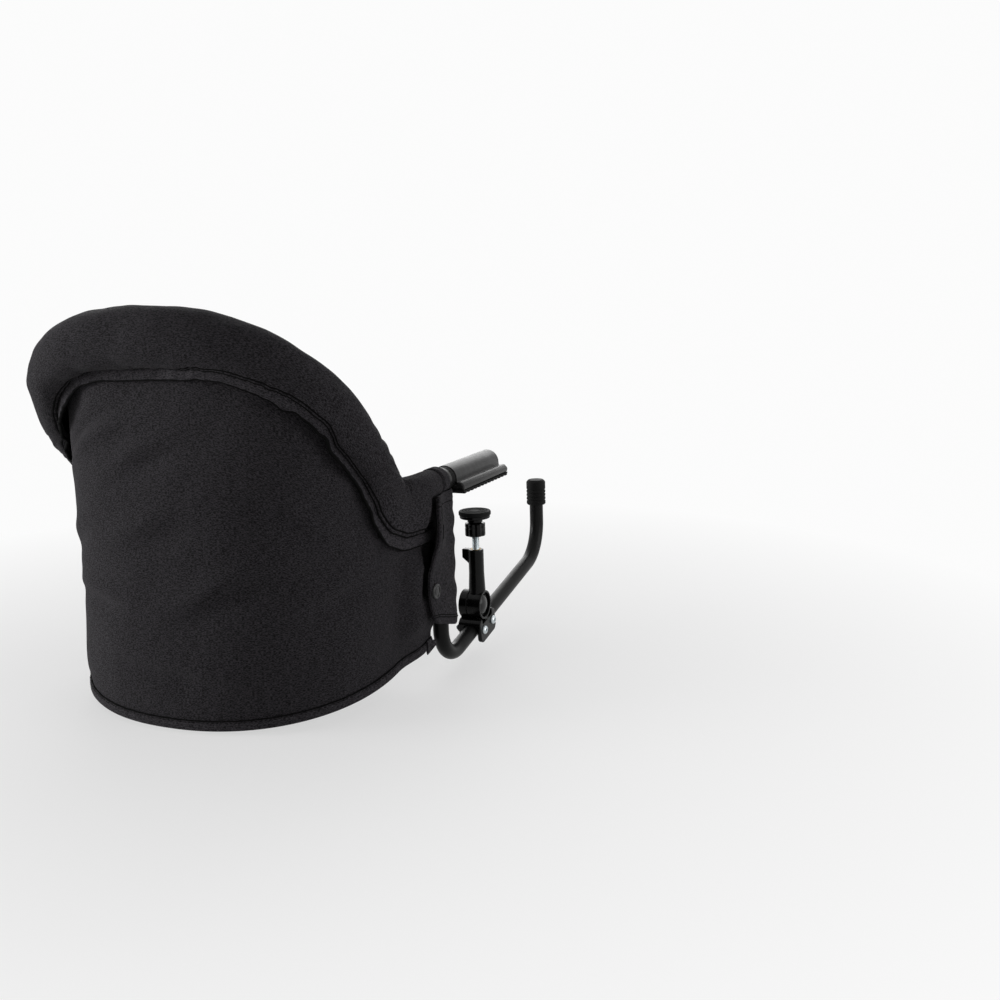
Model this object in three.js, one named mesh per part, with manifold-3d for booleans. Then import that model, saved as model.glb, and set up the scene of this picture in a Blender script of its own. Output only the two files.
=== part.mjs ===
// Hook-on table chair: a fabric tub hung from a bent rim tube. Two padded grips lie on the table top,
// two hooks reach under it, and a screw clamp on each hook presses up against the underside.
// Millimetres, +X towards the table, +Y to the sitter's left, +Z up.
// The origin is midway between the two uprights, on the plane of the table top.

import * as THREE from 'three';
import { mergeVertices } from 'three/addons/utils/BufferGeometryUtils.js';
import Module from 'manifold-3d';

const wasm = await Module();
wasm.setup();

// Fits and the table
const gap = 0.3;
const overcut = 1;
const tableThickness = 31;

// Tubes, shared by the rim and the hooks
const tubeRadius = 8;
const tubeWall = 1.6;
const tubeSides = 10;
const roundSides = 16;
const turnedSides = 18;
const hubSides = 24;
const smallSides = 12;
const armHalfSpan = 176;

// Grips and their soles
const gripRear = 17;
const gripLength = 114;
const gripNose = 6;
const gripWall = 4.6;
const gripFloor = 2;
const gripHalfWidth = 23;
const gripFlangeHeight = 8;
const soleThickness = 3.4;
const soleGroove = 1.2;
const soleRibs = 15;
const collarLength = 4;
const collarWall = 3.8;
const armHeight = soleThickness + gap + gripFloor + gap + tubeRadius;

// Rim hoop in plan and in rise
const hoopTuckIn = 8;
const hoopStart = -69;
const hoopDepth = 132.5;
const hoopTop = 169;
const hoopPlanPower = 2.48;
const hoopBend = 5;
const armBlend = 40;
const rimSteps = 42;
const hoopHalfWidth = armHalfSpan - hoopTuckIn;

// Joint between arm and upright
const jointWall = 3;
const jointRear = 22;
const jointSocketDepth = 34;
const jointWeb = 2.2;
const jointScrewRadius = 2;
const jointScrewHeadRadius = 3.6;
const jointScrewHeadHeight = 1.8;
const jointScrewDrop = 20;
const jointRadius = tubeRadius + gap + jointWall;

// Padded rim cover
const sleeveWall = 2.4;
const rimPadRadius = 26.5;
const rimPadSwell = 96;
const rimPadSteps = 36;
const rimPadSides = 12;
const sleeveRadius = jointRadius + gap + sleeveWall;

// Fabric tub, its floor, board and cushion
const wallThickness = 8;
const wallRows = 5;
const wallDrawIn = 10;
const wallDrawRun = 60;
const baseTuckIn = 17;
const baseDepth = 138;
const basePlanPower = 2.2;
const baseFrontHeight = -149;
const baseSlope = 0.17;
const outlineSteps = 22;
const floorThickness = 4;
const boardThickness = 6;
const boardSetback = 12;
const cushionSetback = 14;
const cushionSideGap = 4;
const cushionEdge = 15;
const cushionCrown = 9;
const cushionTuck = 5;
const leanOverFloor = 2;
const baseHalfWidth = armHalfSpan - baseTuckIn;

// Harness
const webbingWidth = 25;
const webbingThickness = 1.8;
const buckleX = -92;
const buckleLength = 40;
const buckleWidth = 46;
const buckleHeight = 12;
const buckleButtonRadius = 9;
const buckleButtonTravel = 2;
const strapAnchorX = -128;
const strapAnchorRise = 7;

// Hooks
const uprightBottom = -137;
const hookBend = 31;
const hookSlope = THREE.MathUtils.degToRad(12);
const hookReach = 272;
const hookEndBend = 45;
const hookSteps = 34;
const hookTurn = THREE.MathUtils.degToRad(165);
const footWall = 3;
const footHeight = 30;
const footCrown = 6;

// Flap that wraps the upright
const flapTopGap = 1.5;
const flapBottom = -126;
const flapThickness = 2.2;
const flapOuterReach = 45;
const flapOuterLean = 3;
const flapInnerReach = 30;
const snapRadius = 7.5;
const snapHeight = 2.4;
const snapReach = 36;
const snapZ = -86;

// Clamp saddle, hub and tower
const hubX = 84;
const hubRise = 24;
const hubRadius = 15;
const hubInner = -12.5;
const hubSplit = -3;
const hubOuter = 12;
const hubRingWall = 1.8;
const hubFloor = 6.2;
const saddleHalfLength = 20;
const saddleCheek = 4.5;
const saddleWeb = 4.6;
const saddleDrop = 13.5;
const saddleScrewSpacing = 23;
const screwRadius = 2.5;
const screwHeadRadius = 4.6;
const screwHeadHeight = 3;
const screwTip = 1.7;
const nutRadius = 4.7;
const nutHeight = 4;
const pivotRadius = 4;
const pivotHeadRadius = 6.5;
const pivotHeadHeight = 1.5;
const towerOffset = 3.4;
const towerRadius = 6.4;
const towerTop = -72.5;
const towerLug = 6.5;
const towerLugHeight = 10;
const insertRadius = 5;
const insertLength = 12;
const buttonThickness = 2.8;
const buttonDome = 0.9;
const buttonTravel = 3;
const springTurns = 2.25;
const springWire = 1;

// Screw, knob and pad
const spindleRadius = 4;
const spindleBottom = -105.5;
const padDrop = 11;
const knobBottom = -58;
const knobHeight = 14;
const knobRadius = 10.6;
const knobLobe = 0.6;
const knobLobes = 8;
const padRadius = 17;
const padRubberHeight = 4.5;
const padCupRadius = 8;
const padFlangeHeight = 3;
const spindleStub = 4;

// Finishes, as near as plain colours give them
const finishes = {
  powderCoat: { color: 0x1b1b1c, roughness: 0.55, metalness: 0.3 },
  gripPlastic: { color: 0x2f3032, roughness: 0.5, metalness: 0 },
  glossPlastic: { color: 0x0e0e0f, roughness: 0.25, metalness: 0 },
  greyPlastic: { color: 0x3c3d40, roughness: 0.45, metalness: 0 },
  rubber: { color: 0x131313, roughness: 0.85, metalness: 0 },
  zinc: { color: 0xb9bbbd, roughness: 0.35, metalness: 0.9 },
  brass: { color: 0xb08d4a, roughness: 0.4, metalness: 0.9 },
  charcoalCloth: { color: 0x3a3a3c, roughness: 0.95, metalness: 0 },
  boardWood: { color: 0xa98a63, roughness: 0.7, metalness: 0 },
  webbing: { color: 0x1d1d1f, roughness: 0.9, metalness: 0 },
};

const chair = new THREE.Group();

// A bare closed surface: shared vertices merged, empty triangles dropped, faces pointing out.
function closed(geometry) {
  const bare = new THREE.BufferGeometry();
  bare.setAttribute('position', geometry.getAttribute('position').clone());
  bare.setIndex(geometry.index ? geometry.index.clone() : null);
  const merged = mergeVertices(bare, 1e-4);
  const at = (i) => new THREE.Vector3().fromBufferAttribute(merged.getAttribute('position'), i);
  const corners = Array.from(merged.index.array);
  const kept = [];
  let volume = 0;
  for (let i = 0; i < corners.length; i += 3) {
    const [a, b, c] = corners.slice(i, i + 3);
    if (a === b || b === c || c === a) continue;
    kept.push([a, b, c]);
    volume += at(a).dot(at(b).cross(at(c)));
  }
  merged.setIndex(kept.flatMap(([a, b, c]) => (volume < 0 ? [a, c, b] : [a, b, c])));
  return merged;
}

function toSolid(geometry) {
  const body = closed(geometry);
  return new wasm.Manifold(new wasm.Mesh({
    numProp: 3,
    vertProperties: Float32Array.from(body.getAttribute('position').array),
    triVerts: Uint32Array.from(body.index.array),
  }));
}

function fromSolid(solid) {
  const mesh = solid.getMesh();
  const geometry = new THREE.BufferGeometry();
  geometry.setAttribute('position', new THREE.Float32BufferAttribute(mesh.vertProperties, 3));
  geometry.setIndex(Array.from(mesh.triVerts));
  return geometry;
}

const join = (...pieces) => fromSolid(pieces.map(toSolid).reduce((sum, piece) => sum.add(piece)));

const cut = (piece, ...tools) =>
  fromSolid(tools.map(toSolid).reduce((rest, tool) => rest.subtract(tool), toSolid(piece)));

// The corner radius of a faceted hole whose flats clear a round of this radius.
const boreFor = (radius, sides = roundSides) => (radius + gap) / Math.cos(Math.PI / sides);

// A round bar along one axis, between two places on it. The centre gives the other two coordinates.
function bar(axis, radius, from, to, centre = [0, 0], sides = roundSides) {
  const geometry = new THREE.CylinderGeometry(radius, radius, to - from, sides);
  const middle = (from + to) / 2;
  if (axis === 'x') return geometry.rotateZ(-Math.PI / 2).translate(middle, centre[0], centre[1]);
  if (axis === 'y') return geometry.translate(centre[0], middle, centre[1]);
  return geometry.rotateX(Math.PI / 2).translate(centre[0], centre[1], middle);
}

function block(from, to) {
  const size = to.map((value, i) => value - from[i]);
  const middle = to.map((value, i) => (value + from[i]) / 2);
  return new THREE.BoxGeometry(...size).translate(...middle);
}

// A turned piece: the profile is [radius, distance along the axis], from the axis back to the axis.
function turned(profile, sides = turnedSides) {
  return new THREE.LatheGeometry(profile.map(([radius, along]) => new THREE.Vector2(radius, along)), sides);
}

// A skin over rings of equal point counts, capped at both ends.
function skin(rings) {
  const count = rings[0].length;
  const triangles = [];
  for (let r = 0; r < rings.length - 1; r += 1) {
    const here = r * count;
    const there = here + count;
    for (let i = 0; i < count; i += 1) {
      const next = (i + 1) % count;
      triangles.push(here + i, here + next, there + next, here + i, there + next, there + i);
    }
  }
  const last = (rings.length - 1) * count;
  for (let i = 0; i < count / 2 - 1; i += 1) {
    const back = count - 1 - i;
    triangles.push(i, back, i + 1, i + 1, back, back - 1);
    triangles.push(last + i, last + i + 1, last + back, last + i + 1, last + back - 1, last + back);
  }
  const geometry = new THREE.BufferGeometry();
  const coordinates = rings.flat().flatMap((point) => point.toArray());
  geometry.setAttribute('position', new THREE.Float32BufferAttribute(coordinates, 3));
  geometry.setIndex(triangles);
  return geometry;
}

function circleRing(centre, across, up, radius, sides) {
  return Array.from({ length: sides }, (_, i) => {
    const angle = (2 * Math.PI * i) / sides;
    const outward = across.clone().multiplyScalar(Math.cos(angle)).addScaledVector(up, Math.sin(angle));
    return centre.clone().addScaledVector(outward, radius);
  });
}

function addPiece(name, finish, geometry, parent = chair) {
  const mesh = new THREE.Mesh(closed(geometry), new THREE.MeshStandardMaterial(finishes[finish]));
  mesh.name = name;
  parent.add(mesh);
  return mesh;
}

// A left piece, drawn with +Y outward from the plane of its arm, and its mirror image on the right.
function addPair(name, finish, geometry) {
  const left = geometry.clone().translate(0, armHalfSpan, 0);
  addPiece(`left_${name}`, finish, left);
  addPiece(`right_${name}`, finish, left.clone().applyMatrix4(new THREE.Matrix4().makeScale(1, -1, 1)));
}

function roundAlong(path, steps, radius, hollow = 0) {
  const section = new THREE.Shape().absarc(0, 0, radius, 0, 2 * Math.PI);
  if (hollow > 0) section.holes.push(new THREE.Path().absarc(0, 0, hollow, 0, 2 * Math.PI));
  return new THREE.ExtrudeGeometry(section, { steps, extrudePath: path, curveSegments: tubeSides / 2 });
}

const tubeAlong = (path, steps) => roundAlong(path, steps, tubeRadius, tubeRadius - tubeWall);

// Rim: place runs from -1 at the right arm's front, through 0 at the back, to 1 at the left arm's front.
const armFront = gripRear + gripLength - gripNose - gap;
const armShare = 0.4;
const round = (value, power) => Math.sign(value) * Math.abs(value) ** (2 / power);

function planPoint(place, halfWidth, depth, power, front) {
  const side = Math.sign(place) || 1;
  const along = 1 - Math.abs(place);
  if (along < armShare) {
    return { x: THREE.MathUtils.lerp(front, hoopStart, along / armShare), y: side * halfWidth, back: 0 };
  }
  const angle = ((along - armShare) / (1 - armShare)) * (Math.PI / 2);
  const back = round(Math.sin(angle), power);
  return { x: hoopStart - depth * back, y: side * halfWidth * round(Math.cos(angle), power), back };
}

const armFlare = (x) =>
  (armHalfSpan - hoopHalfWidth) * THREE.MathUtils.smoothstep(x, hoopStart, hoopStart + armBlend);

// The hoop bends up out of the arms and then climbs evenly with its depth.
const bendShare = hoopBend / hoopDepth;
const riseAt = (back) => (back ** 2 * (1 + bendShare)) / (back + bendShare);

function rimPoint(place, front = armFront) {
  const { x, y, back } = planPoint(place, hoopHalfWidth, hoopDepth, hoopPlanPower, front);
  const z = armHeight + (hoopTop - armHeight) * riseAt(back);
  return new THREE.Vector3(x, y + Math.sign(y) * armFlare(x), z);
}

class RimCurve extends THREE.Curve {
  constructor(front) {
    super();
    this.front = front;
    this.arcLengthDivisions = 600;
  }

  getPoint(t) {
    return rimPoint(2 * t - 1, this.front);
  }
}

addPiece('rim_tube', 'powderCoat', tubeAlong(new RimCurve(armFront), rimSteps));

// Padded rim cover: a fabric sleeve over the rim tube, thin on the arms and thick round the back.
const sleeveFront = gripRear - collarLength - 2 * gap;
const padRadiusAt = (x) => {
  const slim = THREE.MathUtils.smoothstep(x, hoopStart - rimPadSwell, hoopStart);
  return THREE.MathUtils.lerp(rimPadRadius, sleeveRadius, slim);
};

// The cover's outer body, grown by a clearance where it is used to cut its neighbours.
function rimPadBody(grow = 0) {
  const curve = new RimCurve(sleeveFront);
  return skin(Array.from({ length: rimPadSteps + 1 }, (_, i) => {
    const centre = curve.getPointAt(i / rimPadSteps);
    const tangent = curve.getTangentAt(i / rimPadSteps);
    const across = new THREE.Vector3(tangent.y, -tangent.x, 0).normalize();
    const up = new THREE.Vector3().crossVectors(across, tangent);
    return circleRing(centre, across, up, padRadiusAt(centre.x) + grow, rimPadSides);
  }));
}

function rimPadGeometry() {
  const jointRoom = (side) => [
    bar('x', boreFor(jointRadius), -jointRear - gap, sleeveFront + overcut, [side * armHalfSpan, armHeight]),
    bar('z', boreFor(jointRadius), armHeight - 2 * sleeveRadius, armHeight, [0, side * armHalfSpan]),
  ];
  const tubeRoom = roundAlong(new RimCurve(armFront), rimSteps, boreFor(tubeRadius, tubeSides));
  return cut(rimPadBody(), tubeRoom, ...jointRoom(1), ...jointRoom(-1));
}

addPiece('rim_pad', 'charcoalCloth', rimPadGeometry());

// Fabric tub: a wall from the base outline up to the underside of the rim cover, open at the front.
const wallFront = -(jointRadius + 2 * gap);
const floorHeight = (x) => baseFrontHeight + (x - wallFront) * baseSlope;

function outlinePlaces() {
  const curve = (i) => (1 - armShare) * (1 - (2 * i) / outlineSteps);
  const curved = Array.from({ length: outlineSteps + 1 }, (_, i) => curve(i));
  return [1, 1 - armShare / 2, ...curved, armShare / 2 - 1, -1];
}

function basePoint(place, inset = 0, front = wallFront) {
  const { x, y } = planPoint(place, baseHalfWidth - inset, baseDepth - inset, basePlanPower, front);
  return new THREE.Vector3(x, y + Math.sign(y) * armFlare(x), floorHeight(x));
}

// The wall's upper edge lies inside the rim cover, which then cuts it to a close fit. Round the back it
// is drawn in from the rim tube.
function wallTop(place) {
  const { x, y, z } = rimPoint(place, wallFront);
  const drawnIn = wallDrawIn * THREE.MathUtils.smoothstep(hoopStart - x, 0, wallDrawRun);
  const inward = new THREE.Vector3(hoopStart - x, -y, 0).normalize();
  return new THREE.Vector3(x, y, z - padRadiusAt(x) / 2).addScaledVector(inward, drawnIn);
}

function wallGeometry() {
  const places = outlinePlaces();
  const rings = places.map((place, i) => {
    const before = basePoint(places[Math.max(i - 1, 0)]);
    const after = basePoint(places[Math.min(i + 1, places.length - 1)]);
    const outward = new THREE.Vector3(after.y - before.y, before.x - after.x, 0).normalize();
    const rise = Array.from({ length: wallRows + 1 }, (_, row) =>
      basePoint(place).lerp(wallTop(place), row / wallRows));
    const outer = rise.map((point) => point.clone().addScaledVector(outward, wallThickness / 2));
    const inner = rise.map((point) => point.clone().addScaledVector(outward, -wallThickness / 2));
    return [...outer, ...inner.reverse()];
  });
  return cut(skin(rings), rimPadBody(gap));
}

addPiece('tub_wall', 'charcoalCloth', wallGeometry());

// A level-sided slab over the base outline, which slopes with the floor.
function slab(inset, front, bottom, top) {
  const raised = (point, lift) => point.setZ(point.z + lift);
  const loop = (lift) => outlinePlaces().map((place) => raised(basePoint(place, inset, front), lift));
  return skin([loop(bottom), loop(top)]);
}

const wallInside = wallThickness / 2 + gap;
const boardBottom = floorThickness + gap;
const cushionBottom = boardBottom + boardThickness + gap;

addPiece('tub_floor', 'charcoalCloth', slab(wallInside, wallFront, 0, floorThickness));
addPiece(
  'seat_board',
  'boardWood',
  slab(wallInside + leanOverFloor, wallFront - boardSetback, boardBottom, boardBottom + boardThickness),
);

// Seat cushion: flat below, drawn in at its sides, crowned above.
function cushionGeometry() {
  const front = wallFront - cushionSetback;
  const inset = wallInside + cushionSideGap;
  const middle = new THREE.Vector3((front + hoopStart - baseDepth) / 2, 0, 0);
  const ring = (share, lift) =>
    outlinePlaces().map((place) => {
      const edge = basePoint(place, inset, front);
      const x = THREE.MathUtils.lerp(middle.x, edge.x, share);
      return new THREE.Vector3(x, edge.y * share, floorHeight(x) + cushionBottom + lift);
    });
  const tuck = 1 - cushionTuck / baseHalfWidth;
  const crown = (share) => ring(share, cushionEdge + cushionCrown * (1 - share ** 2));
  return skin([
    ring(tuck, 0),
    ring(1, cushionEdge * 0.28),
    ring(tuck, cushionEdge * 0.5),
    ring(1, cushionEdge * 0.72),
    ring(tuck, cushionEdge),
    ...[0.9, 0.7, 0.45, 0.2].map(crown),
  ]);
}

addPiece('seat_cushion', 'charcoalCloth', cushionGeometry());

// Harness lying on the cushion: a buckle with its press button, two waist straps and a crotch strap.
const cushionTop = (x) => floorHeight(x) + cushionBottom + cushionEdge + cushionCrown;
const buckle = new THREE.Group();
buckle.position.set(buckleX, 0, cushionTop(buckleX) + gap);
buckle.rotation.y = -Math.atan(baseSlope);
chair.add(buckle);

const roundedBox = (length, width, height, corner) => {
  const shape = new THREE.Shape();
  const [x, y] = [length / 2, width / 2];
  shape.moveTo(corner - x, -y).lineTo(x - corner, -y);
  shape.absarc(x - corner, corner - y, corner, -Math.PI / 2, 0);
  shape.absarc(x - corner, y - corner, corner, 0, Math.PI / 2);
  shape.absarc(corner - x, y - corner, corner, Math.PI / 2, Math.PI);
  shape.absarc(corner - x, corner - y, corner, Math.PI, 1.5 * Math.PI);
  const bevel = 1;
  return new THREE.ExtrudeGeometry(shape, {
    depth: height - 2 * bevel,
    bevelThickness: bevel,
    bevelSize: bevel,
    bevelOffset: -bevel,
    bevelSegments: 1,
    curveSegments: 3,
  }).translate(0, 0, bevel);
};

const buckleFloor = 3;
addPiece(
  'buckle_body',
  'glossPlastic',
  cut(
    roundedBox(buckleLength, buckleWidth, buckleHeight, 8),
    bar('z', boreFor(buckleButtonRadius), buckleFloor, buckleHeight + overcut),
  ),
  buckle,
);
const buttonSeat = buckleFloor + gap + buckleButtonTravel;
addPiece(
  'buckle_button',
  'greyPlastic',
  turned([
    [0, buttonSeat],
    [buckleButtonRadius, buttonSeat],
    [buckleButtonRadius, buckleHeight - 0.6],
    [buckleButtonRadius - 2, buckleHeight],
    [0, buckleHeight - 0.8],
  ]).rotateX(Math.PI / 2),
  buckle,
);

// A flat strap over the given points, with its width along one direction.
function strap(points, widthAxis) {
  const half = widthAxis.clone().multiplyScalar(webbingWidth / 2);
  return skin(points.map((point, i) => {
    const before = points[Math.max(i - 1, 0)];
    const after = points[Math.min(i + 1, points.length - 1)];
    const normal = after.clone().sub(before).cross(widthAxis).setLength(webbingThickness / 2);
    return [
      point.clone().add(half).add(normal),
      point.clone().sub(half).add(normal),
      point.clone().sub(half).sub(normal),
      point.clone().add(half).sub(normal),
    ];
  }));
}

const buckleMiddle = cushionTop(buckleX) + gap + buckleHeight / 2;
const strapRearReach = (hoopStart - strapAnchorX + webbingWidth / 2) / baseDepth;
const wallAtStrap = baseHalfWidth * (1 - strapRearReach ** basePlanPower) ** (1 / basePlanPower);
const strapWallY = wallAtStrap - wallInside - leanOverFloor;
const strapWallZ = cushionTop(strapAnchorX) + strapAnchorRise;
for (const [side, name] of [[1, 'left'], [-1, 'right']]) {
  const anchor = new THREE.Vector3(strapAnchorX, side * strapWallY, strapWallZ);
  const end = new THREE.Vector3(buckleX, side * (buckleWidth / 2 + gap), buckleMiddle);
  addPiece(`${name}_waist_strap`, 'webbing', strap([anchor, end], new THREE.Vector3(1, 0, 0)));
}

const crotchX = wallFront - cushionSetback / 2;
const buckleFront = buckleX + buckleLength / 2 + gap + 1;
addPiece(
  'crotch_strap',
  'webbing',
  strap([
    new THREE.Vector3(buckleFront, 0, cushionTop(buckleFront) + buckleHeight / 2),
    new THREE.Vector3(crotchX - cushionSetback, 0, cushionTop(crotchX - cushionSetback) + webbingThickness),
    new THREE.Vector3(crotchX, 0, cushionTop(crotchX) - cushionCrown),
    new THREE.Vector3(crotchX, 0, floorHeight(crotchX) + floorThickness + 2 * gap),
  ], new THREE.Vector3(0, 1, 0)),
);

// Grips, soles and collars
function gripGeometry() {
  const bottom = soleThickness + gap;
  const crownRadius = tubeRadius + gap + gripWall;
  const corner = gripFlangeHeight / 2;
  const shape = new THREE.Shape();
  shape.moveTo(-gripHalfWidth, bottom);
  shape.lineTo(gripHalfWidth, bottom);
  shape.absarc(gripHalfWidth - corner, bottom + gripFlangeHeight - corner, corner, 0, Math.PI / 2);
  shape.absarc(0, armHeight, crownRadius, 0, Math.PI);
  shape.absarc(corner - gripHalfWidth, bottom + gripFlangeHeight - corner, corner, Math.PI / 2, Math.PI);
  const options = { depth: gripLength, bevelEnabled: false, curveSegments: 8 };
  const solid = new THREE.ExtrudeGeometry(shape, options);
  solid.rotateX(Math.PI / 2).rotateZ(Math.PI / 2).translate(gripRear, 0, 0);
  return cut(solid, bar('x', boreFor(tubeRadius), gripRear - overcut, armFront + gap, [0, armHeight]));
}

function soleGeometry() {
  const pitch = gripLength / soleRibs;
  const shape = new THREE.Shape().moveTo(0, soleThickness);
  for (let i = 0; i < soleRibs; i += 1) {
    const start = i * pitch;
    shape.lineTo(start, soleGroove);
    shape.lineTo(start + pitch * 0.15, 0);
    shape.lineTo(start + pitch * 0.7, 0);
    shape.lineTo(start + pitch * 0.85, soleGroove);
  }
  shape.lineTo(gripLength, soleGroove).lineTo(gripLength, soleThickness);
  const solid = new THREE.ExtrudeGeometry(shape, { depth: 2 * gripHalfWidth, bevelEnabled: false });
  return solid.rotateX(Math.PI / 2).translate(gripRear, gripHalfWidth, 0);
}

const collarRadius = tubeRadius + gap + collarWall;
addPair('grip', 'gripPlastic', gripGeometry());
addPair('grip_sole', 'rubber', soleGeometry());
addPair(
  'grip_collar',
  'rubber',
  cut(
    bar('x', collarRadius, gripRear - gap - collarLength, gripRear - gap, [0, armHeight]),
    bar('x', boreFor(tubeRadius), 0, gripRear, [0, armHeight]),
  ),
);

// Joint casting: a collar on the arm with a socket below it, in which the upright turns.
const uprightTop = armHeight - tubeRadius - gap - jointWeb - gap;
const jointScrewZ = -jointScrewDrop;
const sleeveEnd = sleeveFront - gap;

addPair(
  'arm_joint',
  'powderCoat',
  cut(
    join(
      bar('x', jointRadius, -jointRear, sleeveEnd, [0, armHeight]),
      bar('z', jointRadius, -jointSocketDepth, armHeight),
    ),
    bar('x', boreFor(tubeRadius), -jointRear - overcut, sleeveEnd + overcut, [0, armHeight]),
    bar('z', boreFor(tubeRadius), -jointSocketDepth - overcut, uprightTop + gap),
    bar('y', boreFor(jointScrewRadius), 0, jointRadius + overcut, [0, jointScrewZ]),
  ),
);

const jointScrewTip = tubeRadius - tubeWall;
const jointScrewSeat = jointRadius + gap;
addPair(
  'joint_screw',
  'zinc',
  turned([
    [0, jointScrewTip],
    [jointScrewRadius, jointScrewTip],
    [jointScrewRadius, jointScrewSeat],
    [jointScrewHeadRadius, jointScrewSeat],
    [jointScrewHeadRadius, jointScrewSeat + jointScrewHeadHeight * 0.6],
    [jointScrewHeadRadius * 0.6, jointScrewSeat + jointScrewHeadHeight],
    [0, jointScrewSeat + jointScrewHeadHeight],
  ], roundSides).translate(0, 0, jointScrewZ),
);

// Hook tube: down the upright, round a bend, forward and up under the table.
const hookRun = (() => {
  const bendEndX = hookBend + hookBend * Math.sin(hookSlope);
  const bendEndZ = uprightBottom - hookBend * Math.cos(hookSlope);
  return { bendEndX, height: (x) => bendEndZ + (x - bendEndX) * Math.tan(hookSlope) };
})();
const footTop = -tableThickness;
const hookTip = footTop - footCrown - gap;

function hookPath() {
  const centreX = hookReach - hookEndBend;
  const startX = centreX + hookEndBend * Math.sin(hookSlope);
  const centreZ = hookRun.height(startX) + hookEndBend * Math.cos(hookSlope);
  const lowest = 1.5 * Math.PI;
  return new THREE.Path()
    .moveTo(0, uprightTop)
    .lineTo(0, uprightBottom)
    .absarc(hookBend, uprightBottom, hookBend, Math.PI, lowest + hookSlope)
    .absarc(centreX, centreZ, hookEndBend, lowest + hookSlope, 2 * Math.PI)
    .lineTo(hookReach, hookTip);
}

class UprightPlaneCurve extends THREE.Curve {
  constructor(path) {
    super();
    this.path = path;
  }

  getPoint(t) {
    const { x, y } = this.path.getPoint(t);
    return new THREE.Vector3(x, 0, y);
  }
}

// The saddle's own frame: along the tube, outward, and square to the tube.
const saddleX = hubX + hubRise * Math.sin(hookSlope);
const saddleFrame = new THREE.Matrix4()
  .makeTranslation(saddleX, 0, hookRun.height(saddleX))
  .multiply(new THREE.Matrix4().makeRotationY(-hookSlope));
const onTube = (geometry) => geometry.applyMatrix4(saddleFrame);
const screwPlaces = { front: saddleScrewSpacing / 2, rear: -saddleScrewSpacing / 2 };
const cheekInside = tubeRadius + gap;
const cheekOutside = cheekInside + saddleCheek;
const holeEnd = cheekOutside + overcut;
const screwHole = (place) =>
  onTube(bar('y', boreFor(screwRadius, smallSides), -holeEnd, holeEnd, [place, 0], smallSides));

function hookGeometry() {
  const slotMargin = 2 * Math.asin((jointScrewRadius + gap) / tubeRadius);
  const slotEnds = [Math.PI / 2 - hookTurn - slotMargin, Math.PI / 2 + slotMargin];
  const slot = new THREE.Shape();
  slot.absarc(0, 0, tubeRadius + overcut, slotEnds[0], slotEnds[1]);
  slot.absarc(0, 0, tubeRadius - 2 * tubeWall, slotEnds[1], slotEnds[0], true);
  const slotHalf = boreFor(jointScrewRadius) + gap;
  const options = { depth: 2 * slotHalf, bevelEnabled: false, curveSegments: 8 };
  const slotCut = new THREE.ExtrudeGeometry(slot, options);
  return cut(
    tubeAlong(new UprightPlaneCurve(hookPath()), hookSteps),
    slotCut.translate(0, 0, jointScrewZ - slotHalf),
    screwHole(screwPlaces.front),
    screwHole(screwPlaces.rear),
  );
}

addPair('hook_tube', 'powderCoat', hookGeometry());

const footRadius = tubeRadius + gap + footWall;
addPair(
  'hook_foot',
  'rubber',
  cut(
    turned([
      [0, footTop - footHeight],
      [footRadius - 1.5, footTop - footHeight],
      [footRadius, footTop - footHeight + 1.5],
      [footRadius, footTop - 2],
      [footRadius - 2, footTop],
      [0, footTop],
    ]).rotateX(Math.PI / 2).translate(hookReach, 0, 0),
    bar('z', boreFor(tubeRadius), footTop - footHeight - overcut, hookTip + gap, [hookReach, 0]),
  ),
);

// Flap: a panel that wraps the front of the upright and lies on both faces of the tub wall.
const flapInside = jointScrewSeat + jointScrewHeadHeight + gap;
const flapTop = armHeight - sleeveRadius - flapTopGap;
const wallSides = (x) => [baseHalfWidth, hoopHalfWidth].map((y) => y + armFlare(x) - armHalfSpan);
const flapOuterSeat = flapInside - flapOuterLean;
const flapInnerSeat = Math.min(...wallSides(-flapInnerReach)) - wallThickness / 2 - gap;

function flapSection(offset) {
  const radius = flapInside + offset;
  const turn = Array.from({ length: 13 }, (_, i) => {
    const angle = Math.PI / 2 - (Math.PI * i) / 12;
    return [radius * Math.cos(angle), radius * Math.sin(angle)];
  });
  return [[-flapOuterReach, flapOuterSeat + offset], ...turn, [-flapInnerReach, flapInnerSeat - offset]];
}

function flapGeometry() {
  const loop = [...flapSection(flapThickness), ...flapSection(0).reverse()];
  const ring = (z) => loop.map(([x, y]) => new THREE.Vector3(x, y, z));
  return skin([ring(flapBottom), ring(flapTop)]);
}

const flapLean = Math.atan2(flapInside - flapOuterSeat, flapOuterReach);
const flapFaceY = (x) => flapInside + flapThickness + x * Math.tan(flapLean);
addPair('flap', 'charcoalCloth', flapGeometry());
addPair(
  'flap_snap',
  'glossPlastic',
  turned([
    [0, gap],
    [snapRadius, gap],
    [snapRadius, snapHeight * 0.5],
    [snapRadius - 1, snapHeight],
    [snapRadius - 2.2, snapHeight],
    [snapRadius - 3, snapHeight * 0.7],
    [0, snapHeight * 0.6],
  ]).rotateZ(flapLean).translate(-snapReach, flapFaceY(-snapReach), snapZ),
);

// Clamp saddle: an inverted channel bolted through the tube, with the fixed half of the hub on top.
const hubZ = hookRun.height(saddleX) + hubRise * Math.cos(hookSlope);
const hubHole = boreFor(pivotRadius);
const webTop = cheekInside + saddleWeb;
const windowHalf = Math.sqrt(hubRadius ** 2 - (hubRise - webTop) ** 2) + 2;

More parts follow.
